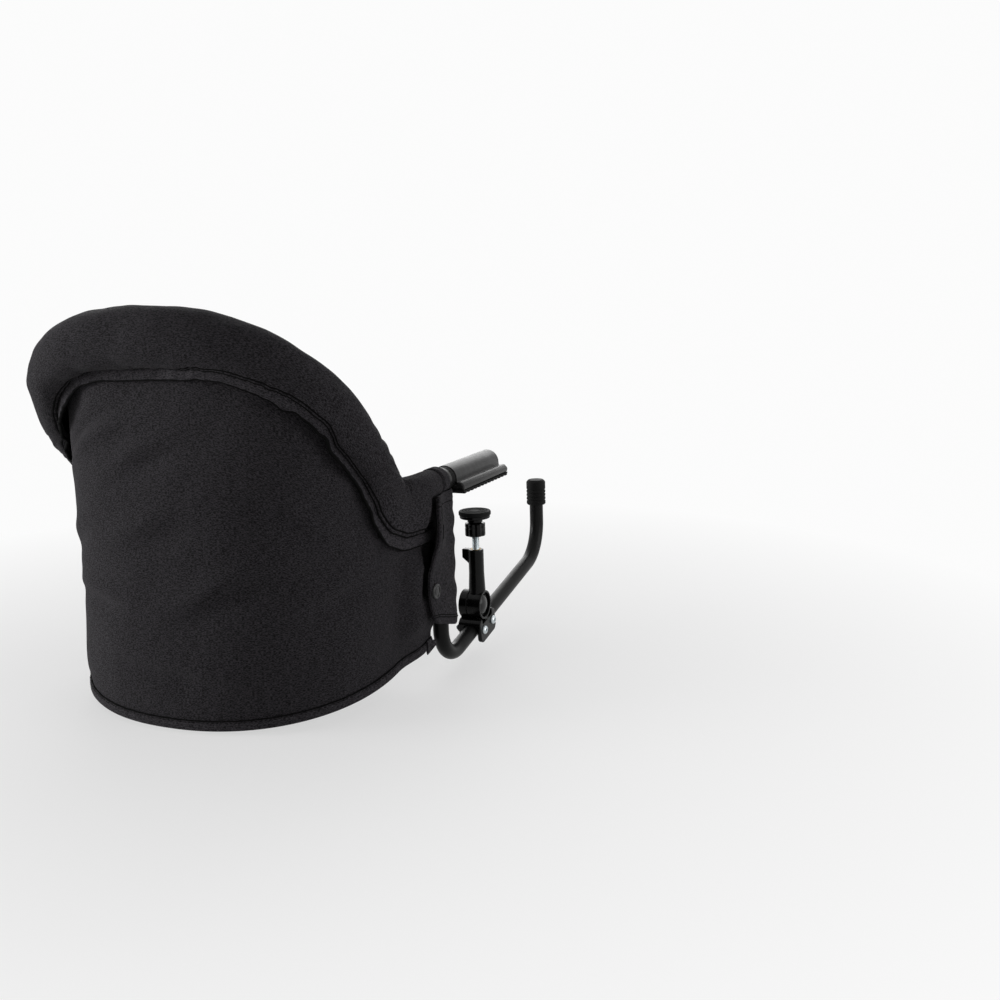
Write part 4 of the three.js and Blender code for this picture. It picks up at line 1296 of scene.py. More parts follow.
def flapRing(z, seed):
    path, step = flapPath(z)
    normals = blurred([Vector((-t.y, t.x, 0)) for t in tangentsOf(path)], 1)
    length = len(path) - 1
    top, low = flap["top"] - z, z - flap["bottom"]
    turnRun, grooveWidth = drape["turnRun"], drape["grooveWidth"]
    ripple = drape["wave"] * math.sin(2 * math.pi * z / drape["wavePitch"] + 1.3 * seed)
    ripple += drape["short"] * wander(z / 11, seed)
    ripple += drape["long"] * wander(z / 31, seed, 5.0)
    swing = drape["swing"] * ease(z, *drape["swingRun"]) - drape["dent"] * bell(z, *drape["dentAt"])
    outer, inner = [], []
    for i, (point, normal) in enumerate(zip(path, normals)):
        fromEdge = min(i, length - i) * step
        fromHem = min(top, low)
        roll = ease(flap["edge"] - fromEdge, -turnRun, turnRun)
        fold = ease(flap["hem"] - fromHem, -turnRun, turnRun) * drape["hemFold"] + roll * drape["rollFold"]
        groove = bell(fromHem, flap["hem"], grooveWidth) + bell(fromEdge, flap["edge"], grooveWidth)
        lift = ease(point.x, *drape["front"]) * (drape["frontLift"] + ripple)
        onRear = ease(-point.x, *drape["rear"]) * (1 if point.y > 0 else 0)
        lift += onRear * (swing + drape["rearRipple"] * wander(z / 20, 4.0 + seed))
        lift += drape["fine"] * wander(z / 9, i / 7, seed)
        half = flap["thick"] / 2 * (1 - drape["grooveShare"] * groove) + fold * 0.5
        if fromEdge < 1 or fromHem < 1:
            half *= drape["endShare"]
        forward = ease(point.x, flapEdge["rear"], flap["inside"])
        droop = flap["droop"] * (forward - flap["droopRear"]) * (1 - ease(low, 0, flap["droopRun"]))
        spot = point + normal * lift + Vector((0, 0, z - droop))
        outer.append(spot + normal * half)
        inner.append(spot - normal * half)
    return outer + inner[::-1], normals, step


def addFlaps():
    heights = [lerp(flap["bottom"], flap["top"], i / flap["rows"]) for i in range(flap["rows"] + 1)]
    heights += [flap["bottom"] + 0.5, flap["top"] - 0.5]
    for name, side in sides.items():
        seed = 2.0 + side
        rings = [flapRing(z, seed)[0] for z in sorted(heights)]
        piece = loft(f"{name}FlapCloth", [onSide(ring, side) for ring in rings], cap="strip")
        sewnPiece(piece, "cloth", f"{name}_flap")
        middle = (flap["top"] + flap["bottom"]) / 2
        width = flapRing(middle, seed)[2] * flap["columns"]
        addFlapSewing(name, side, seed, sorted(heights))


def addFlapSewing(name, side, seed, heights):
    # two rows in the lower hem, one in the upper, one down the rear edge and a short slit
    lowHem, highHem = flap["bottom"] + flap["hem"], flap["top"] - flap["hem"]
    rows = []
    for z in (lowHem - 0.4, lowHem - 2.6, highHem):
        ring, normals, _ = flapRing(z, seed)
        rows.append((onSide(ring[:len(normals)], side), [Vector((n.x, side * n.y, 0)) for n in normals]))
    addStitches(f"{name}FlapStitches", rows)
    rearLine = []
    for z in heights:
        if lowHem < z < flap["top"] - 3:
            ring, _, step = flapRing(z, seed)
            rearLine.append(ring[round(flap["edge"] / step)])
    addThreads(f"{name}FlapSeams", [line for line, normals in rows] + [onSide(rearLine, side)], flap["seam"])
    low, high, column = flap["slit"]
    path = onSide([flapRing(lerp(low, high, i / 8), seed)[0][column] for i in range(9)], side)
    addThread(f"{name}FlapSlit", path, seamLine["cuff"])


# Sewing thread, as short stitches half sunk in the cloth
stitch = {
    "length": 2.7, "pitch": 3.9, "radius": 0.32, "step": 0.9, "count": 6,
    # place along the stitch and its thickness there
    "shape": ((0.0, 0.3), (0.12, 0.85), (0.5, 1.0), (0.88, 0.85), (1.0, 0.3)),
}


def stitchParts(start, end, normal):
    across = (end - start).normalized().cross(normal).normalized()
    turns = [2 * math.pi * k / stitch["count"] for k in range(stitch["count"])]
    ways = [across * math.cos(turn) + normal * math.sin(turn) for turn in turns]
    rings = []
    for share, size in stitch["shape"]:
        centre = start.lerp(end, share) + normal * (0.22 * math.sin(math.pi * share) - 0.05)
        rings.append([centre + way * stitch["radius"] * size for way in ways])
    return loftParts(rings, cap="fan")[:2]


def addStitches(name, rows):
    parts = []
    for line, normals in rows:
        run, due = 0.0, 2.0
        for i in range(len(line) - 1):
            run += (line[i + 1] - line[i]).length
            if run >= due:
                way = (line[i + 1] - line[i]).normalized()
                parts.append(stitchParts(line[i], line[i] + way * stitch["length"], normals[i]))
                due = run + stitch["pitch"]
    sewnPiece(addMesh(name, *joined(parts), sharp=60), "thread")


def closeRow(line, normals):
    # the line at close steps, each with the nearest of its normals
    points = resample(line, stitch["step"])
    last = len(normals) - 1
    return points, [normals[min(round(i * last / (len(points) - 1)), last)] for i in range(len(points))]


def cuffSection(x, side):
    arm = [at for at in rimRun if at["s"] * side > 0]
    at = dict(min(arm, key=lambda section: abs(section["centre"].x - x)))
    at["centre"] = Vector((x, at["centre"].y, at["centre"].z))
    return at


def addSeamStitches():
    line = [hemRing(place, run)[hem["columns"] - 1] for place, run in wallRun]
    addStitches("hemStitches", [closeRow(line, [wallOutward(place) for place, run in wallRun])])
    for name, side in sides.items():
        rows = []
        for x in cover["cuff"]:
            at = cuffSection(x, side)
            first, last = coverAngles(at)[:2]
            ring = [coverPoint(at, lerp(first, last, k / 60)) for k in range(2, 59)]
            rows.append(closeRow(ring, [(point - at["centre"]).normalized() for point in ring]))
        addStitches(f"{name}CuffStitches", rows)
        addThreads(f"{name}CuffSeams", [line for line, normals in rows], seamLine["cuff"])


addTabs()
addFlaps()
addSeamStitches()
print("flaps, tabs and stitches made")

# Seat cushion, swollen by a short cloth simulation
cushion = {
    "front": -25.9, "inset": 8.3, "bottom": 10.6, "edge": 15, "crown": 9, "tuck": 4, "fullness": 0.75,
    "voxel": 4.5, "frames": 20, "pressure": 3.0,
    "cap": 4.0,             # the longest move that is kept from the simulation
    "sideShare": 0.2,       # the share of its sideways moves that is kept
    "flat": 1.5,            # the underside stays flat up to this height
    "piping": 0.988, "pipe": 1.7,
}


def seatRing(layer, share, lift):
    # a ring over the floor, drawn in towards the middle of the layer by its share
    ring = []
    middle = (layer["front"] + chair["start"] - base["depth"]) / 2
    for place in seatPlaces:
        edge = basePoint(place, layer["inset"], layer["front"])
        x = lerp(middle, edge.x, share)
        ring.append(Vector((x, edge.y * share, floorHeight(x) + layer["bottom"] + lift)))
    return ring


def inflate(piece):
    remesh(piece, cushion["voxel"])
    applied(piece)
    rest = [v.co.copy() for v in piece.data.vertices]
    floorRest = [v.co.z - floorHeight(v.co.x / mm) * mm for v in piece.data.vertices]
    cap = cushion["cap"] * mm
    cloth = piece.modifiers.new("cloth", "CLOTH")
    cloth.settings.use_pressure = True
    cloth.settings.uniform_pressure_force = cushion["pressure"]
    cloth.settings.effector_weights.gravity = 0
    cloth.point_cache.frame_end = cushion["frames"]
    for number in range(1, cushion["frames"] + 1):
        scene.frame_set(number)
    applied(piece)
    for vertex, start, height in zip(piece.data.vertices, rest, floorRest):
        move = vertex.co - start
        if move.length > cap:
            move *= cap / move.length
        move.x *= cushion["sideShare"]
        move.y *= cushion["sideShare"]
        if height < (cushion["bottom"] + cushion["flat"]) * mm:
            move.z = 0
        vertex.co = start + move
    scene.frame_set(1)


def addCushion():
    tuck = 1 - cushion["tuck"] / base["halfWidth"]
    rows = [(tuck - 0.02, 0), (1 - 0.005, 4), (tuck, 7.5), (1 - 0.005, 11), (tuck - 0.02, cushion["edge"])]
    rings = [seatRing(cushion, share, lift) for share, lift in rows]
    for share in (0.9, 0.8, 0.65, 0.5, 0.35, 0.2, 0.05):
        crown = cushion["crown"] * cushion["fullness"] * (1 - share ** 2)
        rings.append(seatRing(cushion, share, cushion["edge"] + crown))
    piece = loft("seatCushion", rings, cap="fan")
    inflate(piece)
    smooth = piece.modifiers.new("smooth", "SUBSURF")
    smooth.levels = 1
    smooth.render_levels = 1
    applied(piece)
    boxMap(piece)
    soften(piece, 180)
    sewnPiece(piece, "cloth", "seat_cushion")
    welt = seatRing(cushion, cushion["piping"], cushion["edge"] / 2)
    rings = tubeRings(resample(welt, 3), cushion["pipe"], 10)
    sewnPiece(loft("cushionPiping", rings, cap="fan"), "binding")


# Cloth sleeve sewn round the seat board
boardSleeve = {"front": -23.6, "inset": 6.0, "bottom": 4.15, "height": 6.35}


def addBoardSleeve():
    rows = [(0.02, 0), (1, 0), (1, boardSleeve["height"]), (0.02, boardSleeve["height"])]
    rings = [seatRing(boardSleeve, share, lift) for share, lift in rows]
    sewnPiece(loft("boardSleeve", rings, cap="fan"), "lining")


# Folded front edge of the seat
frontEdge = {
    "rear": -17.2, "front": -12.2, "low": 4.2, "height": 25, "halfWidth": 162, "corner": 2.4, "steps": 80,
}


def addFrontEdge():
    rear, front, low, high = (frontEdge[key] for key in ("rear", "front", "low", "height"))
    outline = rounded([(rear, low), (front, low), (front, high), (rear, high)], frontEdge["corner"], 5, True)
    rings = []
    for i in range(frontEdge["steps"] + 1):
        y = lerp(-frontEdge["halfWidth"], frontEdge["halfWidth"], i / frontEdge["steps"])
        ring = []
        for x, lift in outline:
            gather = math.sin(y / 2.6 + 3 * wander(y / 30)) * bell(lift, 8, 3)
            wave = 0.5 * wander(y / 24, lift / 14, 6.0) + 0.25 * gather
            ring.append(Vector((x + wave, y, floorHeight(x) + lift + 0.5 * wander(y / 40, 8.0))))
        rings.append(ring)
    sewnPiece(loft("seatFrontEdge", rings, cap="fan", sharp=60), "cloth")


addCushion()
addBoardSleeve()
addFrontEdge()
print("cushion and front edge made")

# Harness: webbing, adjusters and the round-button buckle
harness = {
    "width": 25, "thick": 1.8, "columns": 16, "buckleX": -92, "length": 40, "breadth": 46, "height": 12,
    "gap": 0.3, "floor": 3, "well": 9.7, "anchorRise": 7, "patch": 1.8, "patchColumns": 15, "patchRows": 13,
    # opening for a strap: half width, half depth into the side, low and high
    "slot": (14, 2.4, 3.4, 8.6),
    # share of the way from the wall to the buckle, and the waist strap's rise there
    "arch": ((0.3, 1.4), (0.68, 0.8)),
    "bite": 2.0,            # a strap goes this far into its patch
    "buckleEnd": 21.5,
}


def cushionTop(x):
    return floorHeight(x) + cushion["bottom"] + cushion["edge"] + cushion["crown"]


def strapPiece(name, path, across, *nodes):
    path = resample(path, 2.0)
    tangents = blurred(tangentsOf(path), 3)
    rings = []
    for point, tangent in zip(path, tangents):
        shares = [k / harness["columns"] - 0.5 for k in range(harness["columns"] + 1)]
        row = [point + across * share * harness["width"] for share in shares]
        rings.append(strapRing(row, harness["thick"], tangent.cross(across).normalized()))
    piece = loft(name, rings, cap="strip", sharp=60)
    return finishPiece(piece, "webbing", "frame", "webbing", *nodes)


def curved(points, steps=14):
    # a smooth line through a few points
    made = []
    for i in range(len(points) - 1):
        p0, p1, p2, p3 = (points[min(max(i + k, 0), len(points) - 1)] for k in (-1, 0, 1, 2))
        for k in range(steps):
            t = k / steps
            made.append(0.5 * ((2 * p1) + (p2 - p0) * t + (2 * p0 - 5 * p1 + 4 * p2 - p3) * t * t
                               + (3 * p1 - p0 - 3 * p2 + p3) * t ** 3))
    return made + [points[-1]]


def buckleFrame():
    tilt = Matrix.Rotation(-math.atan(base["slope"]), 4, "Y")
    x = harness["buckleX"]
    return Matrix.Translation(Vector((x, 0, cushionTop(x) + harness["gap"]))) @ tilt


def roundRect(length, width, corner):
    x, y = length / 2, width / 2
    return rounded([(-x, -y), (x, -y), (x, y), (-x, y)], corner, 8, True)


def addBuckle():
    place = buckleFrame()
    top, well = harness["height"], harness["well"]
    body = extrudedParts(roundRect(harness["length"], harness["breadth"], 12), 0, top, 2.6, "z")
    hole = rod(well, harness["floor"], top + 2, "z", (0, 0))
    dish = turnedParts([(0, top - 0.5), (10.6, top - 0.5), (12.4, top + 1.2), (0, top + 1.2)], "z", (0, 0))
    wide, deep, low, high = harness["slot"]
    cuts = [hole, dish]
    for y in (-harness["breadth"] / 2, harness["breadth"] / 2):
        cuts.append(boxParts((-wide, y - deep, low), (wide, y + deep, high)))
    front = harness["length"] / 2
    cuts.append(boxParts((front - deep, -wide, low), (front + deep, wide, high)))
    piece = moulded("buckleShell", [body], cuts, 0.6, 3)
    piece.data.transform(Matrix.Scale(1 / mm, 4))
    piece.data.transform(Matrix.Scale(mm, 4) @ place)
    finishPiece(piece, "gloss", "frame", "gloss_plastic", "buckle_body")
    seat = harness["floor"] + 2.3
    rows = [(0, seat), (9, seat), (9, top - 0.7), (8.3, top), (6.6, top - 0.1), (3, top - 0.7),
            (0, top - 0.8)]
    piece = addMesh("buckleButton", *moved(turnedParts(rows, "z", (0, 0), 64, 0.5), place))
    finishPiece(piece, "grey", "buckle_press", "grey_plastic", "buckle_button")


# Adjuster on each waist strap: three bars across and a rail at each end, with radius and rise over the strap
slider = {
    "bars": (-7, 0, 7), "barEnds": (-15, -5, 5, 15), "bar": 1.7, "barRise": 1.6,
    "rails": (-14.6, 14.6), "railEnds": (-8.2, 0, 8.2), "rail": 1.9, "railRise": 1.2, "count": 12,
}


def sliderParts(middle, way, across, normal):
    parts = []
    for shift in slider["bars"]:
        start = middle + way * shift
        path = [start + across * reach + normal * slider["barRise"] for reach in slider["barEnds"]]
        parts.append(strandParts(resample(path, 3), slider["bar"], slider["count"]))
    for reach in slider["rails"]:
        path = []
        for shift in slider["railEnds"]:
            path.append(middle + way * shift + across * reach + normal * slider["railRise"])
        parts.append(strandParts(resample(path, 3), slider["rail"], slider["count"]))
    return parts


def strapAnchor(x, z, side):
    # a sewn patch on the lining; gives the place where the strap goes in
    columns = [(place, run) for place, run in wallRun if place * side > 0]
    near = sorted(columns, key=lambda column: abs(basePoint(column[0]).x - x))[:harness["patchColumns"]]
    rings, middle = [], harness["patchRows"] // 2
    for place, run in sorted(near):
        lining = wallRing(place, run)[:tub["rows"]:-1]
        row = min(range(len(lining)), key=lambda i: abs(lining[i].z - z))
        rings.append((lining[row - middle:row + middle + 1], wallOutward(place)))
    name = "left" if side > 0 else "right"
    patch = [strapRing(row, harness["patch"], normal) for row, normal in rings]
    sewnPiece(loft(f"{name}StrapPatch", patch, cap="strip"), "binding")
    lines = []
    for edge in (1, -2):
        line = [row[edge] - normal * harness["patch"] / 2 for row, normal in rings]
        lines.append(closeRow(line, [-normal for row, normal in rings]))
    addStitches(f"{name}PatchStitches", lines)
    row, normal = rings[len(rings) // 2]
    return row[middle], normal


def addWaistStraps():
    x = harness["buckleX"]
    middle = cushionTop(x) + harness["gap"] + harness["height"] / 2
    for name, side in sides.items():
        low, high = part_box(f"{name}_waist_strap")
        wallY = side * max(abs(low.y), abs(high.y)) / mm
        wallX = low.x / mm + harness["width"] / 2
        wallZ = cushionTop(wallX) + harness["anchorRise"]
        spot, outward = strapAnchor(wallX, wallZ, side)
        points = [spot + outward * harness["bite"], spot - outward * harness["bite"]]
        for share, rise in harness["arch"]:
            y = lerp(wallY, side * harness["breadth"] / 2, share)
            points.append(Vector((lerp(wallX, x, share), y, lerp(wallZ, middle, share) + rise)))
        points.append(Vector((x, side * harness["buckleEnd"], middle)))
        path = curved(points)
        strapPiece(f"{name}WaistStrap", path, Vector((1, 0, 0)), f"{name}_waist_strap")
        spot = path[len(path) // 2]
        way = (path[len(path) // 2 + 1] - path[len(path) // 2 - 1]).normalized()
        across = Vector((1, 0, 0)) - way * way.x
        normal = way.cross(across).normalized()
        normal = normal if normal.z > 0 else -normal
        piece = addMesh(f"{name}StrapSlider", *joined(sliderParts(spot, way, across.normalized(), normal)))
        finishPiece(piece, "gloss", "frame", "gloss_plastic")


def addCrotchStrap():
    low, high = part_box("crotch_strap")
    front = high.x / mm - harness["thick"] / 2
    rear = low.x / mm
    points = [
        Vector((rear, 0, cushionTop(rear) + harness["height"] / 2)),
        Vector((rear + 16, 0, cushionTop(rear + 16) + 3.4)),
        Vector((front - 12, 0, cushionTop(front - 12) + 1.2)),
        Vector((front - 2.2, 0, cushionTop(front) - 4.5)),
        Vector((front, 0, cushionTop(front) - 12)),
        Vector((front, 0, floorHeight(front) + 4.6)),
    ]
    strapPiece("crotchStrap", curved(points), Vector((0, 1, 0)), "crotch_strap")


addBuckle()
addWaistStraps()
addCrotchStrap()
print("harness made")

# Hooks: one bent tube and a rubber foot on each side
hook = {
    "top": 3.2, "straight": -137, "bend": 31, "slope": math.radians(12), "reach": 272, "endBend": 45,
    "tip": -37.3, "foot": 11.3, "footBore": 8.3, "footHeight": 30, "grooves": 4, "groovePitch": 4.2,
}
bendEnd = Vector((
    hook["bend"] * (1 + math.sin(hook["slope"])),
    hook["straight"] - hook["bend"] * math.cos(hook["slope"]),
))


def lowerArm(x):
    return bendEnd.y + (x - bendEnd.x) * math.tan(hook["slope"])


def arcPoints(centre, radius, start, end, steps):
    made = []
    for i in range(steps + 1):
        turn = lerp(start, end, i / steps)
        made.append(Vector((centre[0] + radius * math.cos(turn), 0, centre[1] + radius * math.sin(turn))))
    return made


def hookPath():
    lowest = 1.5 * math.pi
    middle = hook["reach"] - hook["endBend"]
    startX = middle + hook["endBend"] * math.sin(hook["slope"])
    rise = lowerArm(startX) + hook["endBend"] * math.cos(hook["slope"])
    path = [Vector((0, 0, hook["top"]))]
    path += arcPoints((hook["bend"], hook["straight"]), hook["bend"], math.pi, lowest + hook["slope"], 28)
    path += arcPoints((middle, rise), hook["endBend"], lowest + hook["slope"], 2 * math.pi, 28)
    path.append(Vector((hook["reach"], 0, hook["tip"])))
    return resample(path, 2.5)


def addHooks():
    rings = tubeRings(hookPath(), chair["tube"], 32)
    top, inner = chair["tableUnder"], hook["tip"] + 0.3
    low = top - hook["footHeight"]
    reach, bore = hook["foot"], hook["footBore"]
    rows = [(0, inner), (bore, inner), (bore, low), (reach - 1.2, low), (reach, low + 1.2)]
    for k in range(hook["grooves"]):
        z = low + 4.5 + hook["groovePitch"] * k
        rows += [(reach, z), (reach - 0.7, z + 0.6), (reach - 0.7, z + 1.4), (reach, z + 2.0)]
    rows += [(reach, top - 2.6), (reach - 2.2, top), (0, top)]
    rubber = turnedParts(rows, "z", (hook["reach"], 0), 48, 0.5)
    for name, side in sides.items():
        tube = loft(f"{name}HookTube", [onSide(ring, side) for ring in rings], cap="fan")
        finishPiece(tube, "powder", f"{name}_hook", "powder_coat", f"{name}_hook_tube")
        foot = addMesh(f"{name}HookFoot", *placed(rubber, side))
        finishPiece(foot, "rubber", f"{name}_hook", "rubber", f"{name}_hook_foot")


# Grips: domed bar with a rounded flange, ribbed sole, rear collar
grip = {
    "rear": 17, "length": 114, "bottom": 3.7, "half": 23, "flange": 8, "crown": 12.9, "bore": 8.35,
    "sole": 3.4, "groove": 2.4, "ribs": 13,
}


def gripOutline():
    edge, bottom = grip["half"], grip["bottom"]
    top = bottom + grip["flange"]
    right = [(0, bottom), (edge - 0.6, bottom), (edge, bottom + 2.2), (edge, top - 3.6), (edge - 3.4, top),
             (16.4, top), (13.3, top - 1.5), (grip["crown"], 13.0)]
    half = [Vector(p) for p in rounded(right, 1.5, 4)[1:-1]]
    for i in range(17):
        turn = math.radians(lerp(-2, 90, i / 16))
        reach, rise = grip["crown"] * math.cos(turn), grip["crown"] * math.sin(turn)
        half.append(Vector((reach, chair["armHeight"] + rise)))
    mirrored = [Vector((-p.x, p.y)) for p in reversed(half[:-1])]
    return half + mirrored


# Rubber band in the grip's neck and the plastic bush at the end of the sleeve
collar = {
    "rear": 12.7, "outer": 12.2, "neck": 11.0, "band": 22.0, "turn": 115,
    "bushInner": 11.6, "bushRear": 4.9, "bushOuter": 12.7,
}


def bandParts(low, high, edge, reach=180):
    # a ring round the arm; corners are (radius, place), reach is the half angle from the top
    section = rounded([low, (high[0], low[1]), high, (low[0], high[1])], edge, 4, True)
    rings, steps = [], 60
    for i in range(steps + 1):
        turn = math.pi / 2 + math.radians(lerp(-reach, reach, i / steps))
        middle, up, out = chair["armHeight"], math.sin(turn), math.cos(turn)
        rings.append([Vector((x, r * out, middle + r * up)) for r, x in section])
    return loftParts(rings, cap="fan" if reach < 180 else None)[:2]


def soleOutline():
    pitch = grip["length"] / grip["ribs"]
    points = [(grip["rear"], grip["sole"])]
    for i in range(grip["ribs"]):
        x = grip["rear"] + i * pitch
        points += [(x + 0.3, grip["groove"]), (x + pitch * 0.2, 0.0)]
        points += [(x + pitch * 0.72, 0.0), (x + pitch * 0.9, grip["groove"])]
    points.append((grip["rear"] + grip["length"], grip["sole"]))
    return rounded(points, 0.7, 3, True)


def addGrips():
    rear, half = grip["rear"], grip["half"] - 0.2
    front = rear + grip["length"]
    neck, outer, end = collar["neck"], collar["outer"], collar["band"]
    bar = extrudedParts(gripOutline(), rear, front, 1.8, "x", 5)
    bore = rod(grip["bore"], rear - 3, front - 6, "x", (0, chair["armHeight"]), 40)
    sole = extrudedParts(soleOutline(), -half, half, 0.5, "y", 3)
    notch = bandParts((neck, rear - 2), (grip["crown"] + 3, end), 0.1, collar["turn"])
    band = bandParts((neck + 0.15, rear - 0.4), (outer, end - 0.2), 0.5, collar["turn"] - 1)
    ring = bandParts((grip["bore"], collar["rear"]), (outer, rear - 0.3), 0.8)
    bushEnd = collar["rear"] - 0.3
    bush = bandParts((collar["bushInner"], collar["bushRear"]), (collar["bushOuter"], bushEnd), 0.9)
    for name, side in sides.items():
        piece = addMesh(f"{name}GripBar", *placed(bar, side))
        for part in (bore, notch):
            tool = addMesh("gripTool", *placed(part, side))
            cutBy(piece, tool)
            applied(piece)
            bpy.data.objects.remove(tool)
        soften(piece, 35)
        finishPiece(piece, "grip", "frame", "grip_plastic", f"{name}_grip")
        piece = addMesh(f"{name}GripSole", *placed(sole, side))
        finishPiece(piece, "rubber", "frame", "rubber", f"{name}_grip_sole")
        piece = addMesh(f"{name}GripCollar", *placed(joined([ring, band]), side))
        finishPiece(piece, "rubber", "frame", "rubber", f"{name}_grip_collar")
        piece = addMesh(f"{name}ArmBush", *placed(bush, side))
        finishPiece(piece, "grip", "frame", "grip_plastic")


addHooks()
addGrips()
print("hooks and grips made")

# Screw clamp: saddle on the tube, folding tower, release button, screw and pad
clamp = {
    "hubX": 84, "rise": 24, "hub": 15.4, "inner": -12.5, "split": -3, "outer": 12, "floor": 3.2,
    "ringWall": 2.25, "half": 20, "cheekIn": 8.3, "cheekOut": 12.8, "webTop": 12.9, "drop": 13.5,
    "screws": 23,           # from one saddle screw to the other
    "screwBore": 2.8,
    "offset": 3.4, "post": 8.1, "postTop": -72.5, "pivotBore": 4.4, "gap": 0.3,
    "ribThick": 1.9,        # half of it, as for the lug
    "lugThick": 3.9,
    "lugReach": 6.5,
    "screwHole": (4.5, 15.6),     # radius, and its floor above the hub's middle
    "insertHole": (5.4, 12.4),    # radius, and its depth from the top
}
saddleX = clamp["hubX"] + clamp["rise"] * math.sin(hook["slope"])
hubZ = lowerArm(saddleX) + clamp["rise"] * math.cos(hook["slope"])
saddlePlace = Matrix.Translation((saddleX, 0, lowerArm(saddleX))) @ Matrix.Rotation(-hook["slope"], 4, "Y")
hubCentre = (clamp["hubX"], hubZ)
screwCentre = (clamp["hubX"], clamp["offset"])


def onTube(part):
    return moved(part, saddlePlace)


def saddleParts():
    half, drop, top = clamp["half"], clamp["drop"], clamp["webTop"]
    outline = rounded([(-half, 4 - drop), (4 - half, -drop), (half - 4, -drop), (half, 4 - drop),
                       (half, top - 4), (half - 5, top), (5 - half, top), (-half, top - 4)], 2.0, 3, True)
    split, under = clamp["split"] - clamp["gap"], clamp["rise"] - clamp["hub"] - 2
    body = onTube(extrudedParts(outline, -clamp["cheekOut"], clamp["cheekOut"], 0.6))
    barrel = rod(clamp["hub"], clamp["inner"], split, "y", hubCentre, 64)
    lip = rod(clamp["hub"] - 2.2, clamp["inner"] - 0.8, clamp["split"] - 2, "y", hubCentre, 64)
    window = math.sqrt(clamp["hub"] ** 2 - (clamp["rise"] - top) ** 2) + 2
    cuts = [
        onTube(boxParts((-half - 2, -clamp["cheekIn"], -drop - 2), (half + 2, clamp["cheekIn"], 0))),
        onTube(rod(clamp["cheekIn"] + clamp["gap"], -half - 2, half + 2, "x", (0, 0))),
        onTube(boxParts((-window, split, under), (window, 15, top + 1))),
        rod(clamp["pivotBore"], clamp["inner"] - 3, clamp["split"] + 1, "y", hubCentre),
    ]
    for place in (-clamp["screws"] / 2, clamp["screws"] / 2):
        cuts.append(onTube(rod(clamp["screwBore"], -20, 20, "y", (place, 0), 24)))
    return [body, barrel, lip], cuts


def towerParts():
    post, top = clamp["post"], clamp["postTop"]
    disc = rod(clamp["hub"], clamp["split"], clamp["floor"] + 0.6, "y", hubCentre, 64)
    foot = post + 1.0
    stem = turnedParts([(0, hubZ), (foot, hubZ), (foot, hubZ + 12), (post, top - 26), (post, top), (0, top)],
                       "z", screwCentre, 48)
    x, out = clamp["hubX"], clamp["offset"]
    ribOutline = [(x, hubZ), (x + 12, hubZ), (x + 11, hubZ + 14), (x + post - 0.6, top - 24), (x, top - 24)]
    rib = extrudedParts(ribOutline, out - clamp["ribThick"], out + clamp["ribThick"], 0.3)
    lugEnd = out - post - clamp["lugReach"]
    lugOutline = [(out, top), (out, top - 22), (out - post + 0.4, top - 15), (lugEnd, top - 9.5),
                  (lugEnd, top)]
    lug = extrudedParts(lugOutline, x - clamp["lugThick"], x + clamp["lugThick"], 0.3, "x")
    hole, holeFloor = clamp["screwHole"]
    insert, insertDepth = clamp["insertHole"]
    cuts = [
        rod(clamp["hub"] - clamp["ringWall"], clamp["floor"], clamp["outer"] + 2, "y", hubCentre, 64),
        rod(clamp["pivotBore"], clamp["split"] - 2, clamp["floor"] + 2, "y", hubCentre),
        rod(hole, hubZ + holeFloor, top + 2, "z", screwCentre),
        rod(insert, top - insertDepth, top + 2, "z", screwCentre),
    ]
    return [disc, stem, rib, lug], cuts


def hollowParts(rows, axis, centre, count):
    # a turned ring, open through its middle
    return loftParts(turnedRings(rows + rows[:1], axis, centre, count))[:2]


def cupParts():
    # the wall round the button, with an eased lip
    outer, inner = clamp["hub"], clamp["hub"] - clamp["ringWall"]
    low, high = clamp["floor"] - 1.2, clamp["outer"] + 0.4
    rows = rounded([(inner, low), (outer, low), (outer, high), (inner, high)], 0.8, 4, True)
    return hollowParts(rows, "y", hubCentre, 72)


def addTo(piece, part):
    # one more closed body in the same piece
    extra = addMesh("extra", *part)
    edit = bmesh.new()
    edit.from_mesh(piece.data)
    edit.from_mesh(extra.data)
    edit.to_mesh(piece.data)
    edit.free()
    bpy.data.objects.remove(extra)


def hexRadius(flat):
    # distance to a hexagon's side, by angle
    def reach(angle):
        turn = angle % (math.pi / 3) - math.pi / 6
        return flat / math.cos(turn)
    return reach


# Domed screws with a hexagon socket, and their nuts
saddleScrew = {
    "seat": 13.1, "tip": -18.8, "shank": 2.5, "root": 2.1, "head": 4.6, "socket": 1.6, "ridges": 26,
}
saddleNut = {"inner": -13.1, "outer": -17.1, "bore": 2.55, "flat": 4.05, "eased": 4.3}


def screwParts():
    seat, tip, head, shank = (saddleScrew[key] for key in ("seat", "tip", "head", "shank"))
    root = saddleScrew["root"]
    rows = [(0, tip), (root, tip)]
    rows += [(shank if k % 2 else root, tip + 0.5 + 0.4 * k) for k in range(saddleScrew["ridges"])]
    rows += [(shank, seat), (head, seat), (head, seat + 0.9), (head - 0.25, seat + 1.7),
             (head - 0.9, seat + 2.5), (head - 2.0, seat + 3.0)]
    socket, mouth = hexRadius(saddleScrew["socket"]), hexRadius(saddleScrew["socket"] * 1.08)
    rows += [(mouth, seat + 3.0), (socket, seat + 2.8), (socket, seat + 1.3), (0, seat + 1.1)]
    return turnedParts(rows, "y", (0, 0), 48)


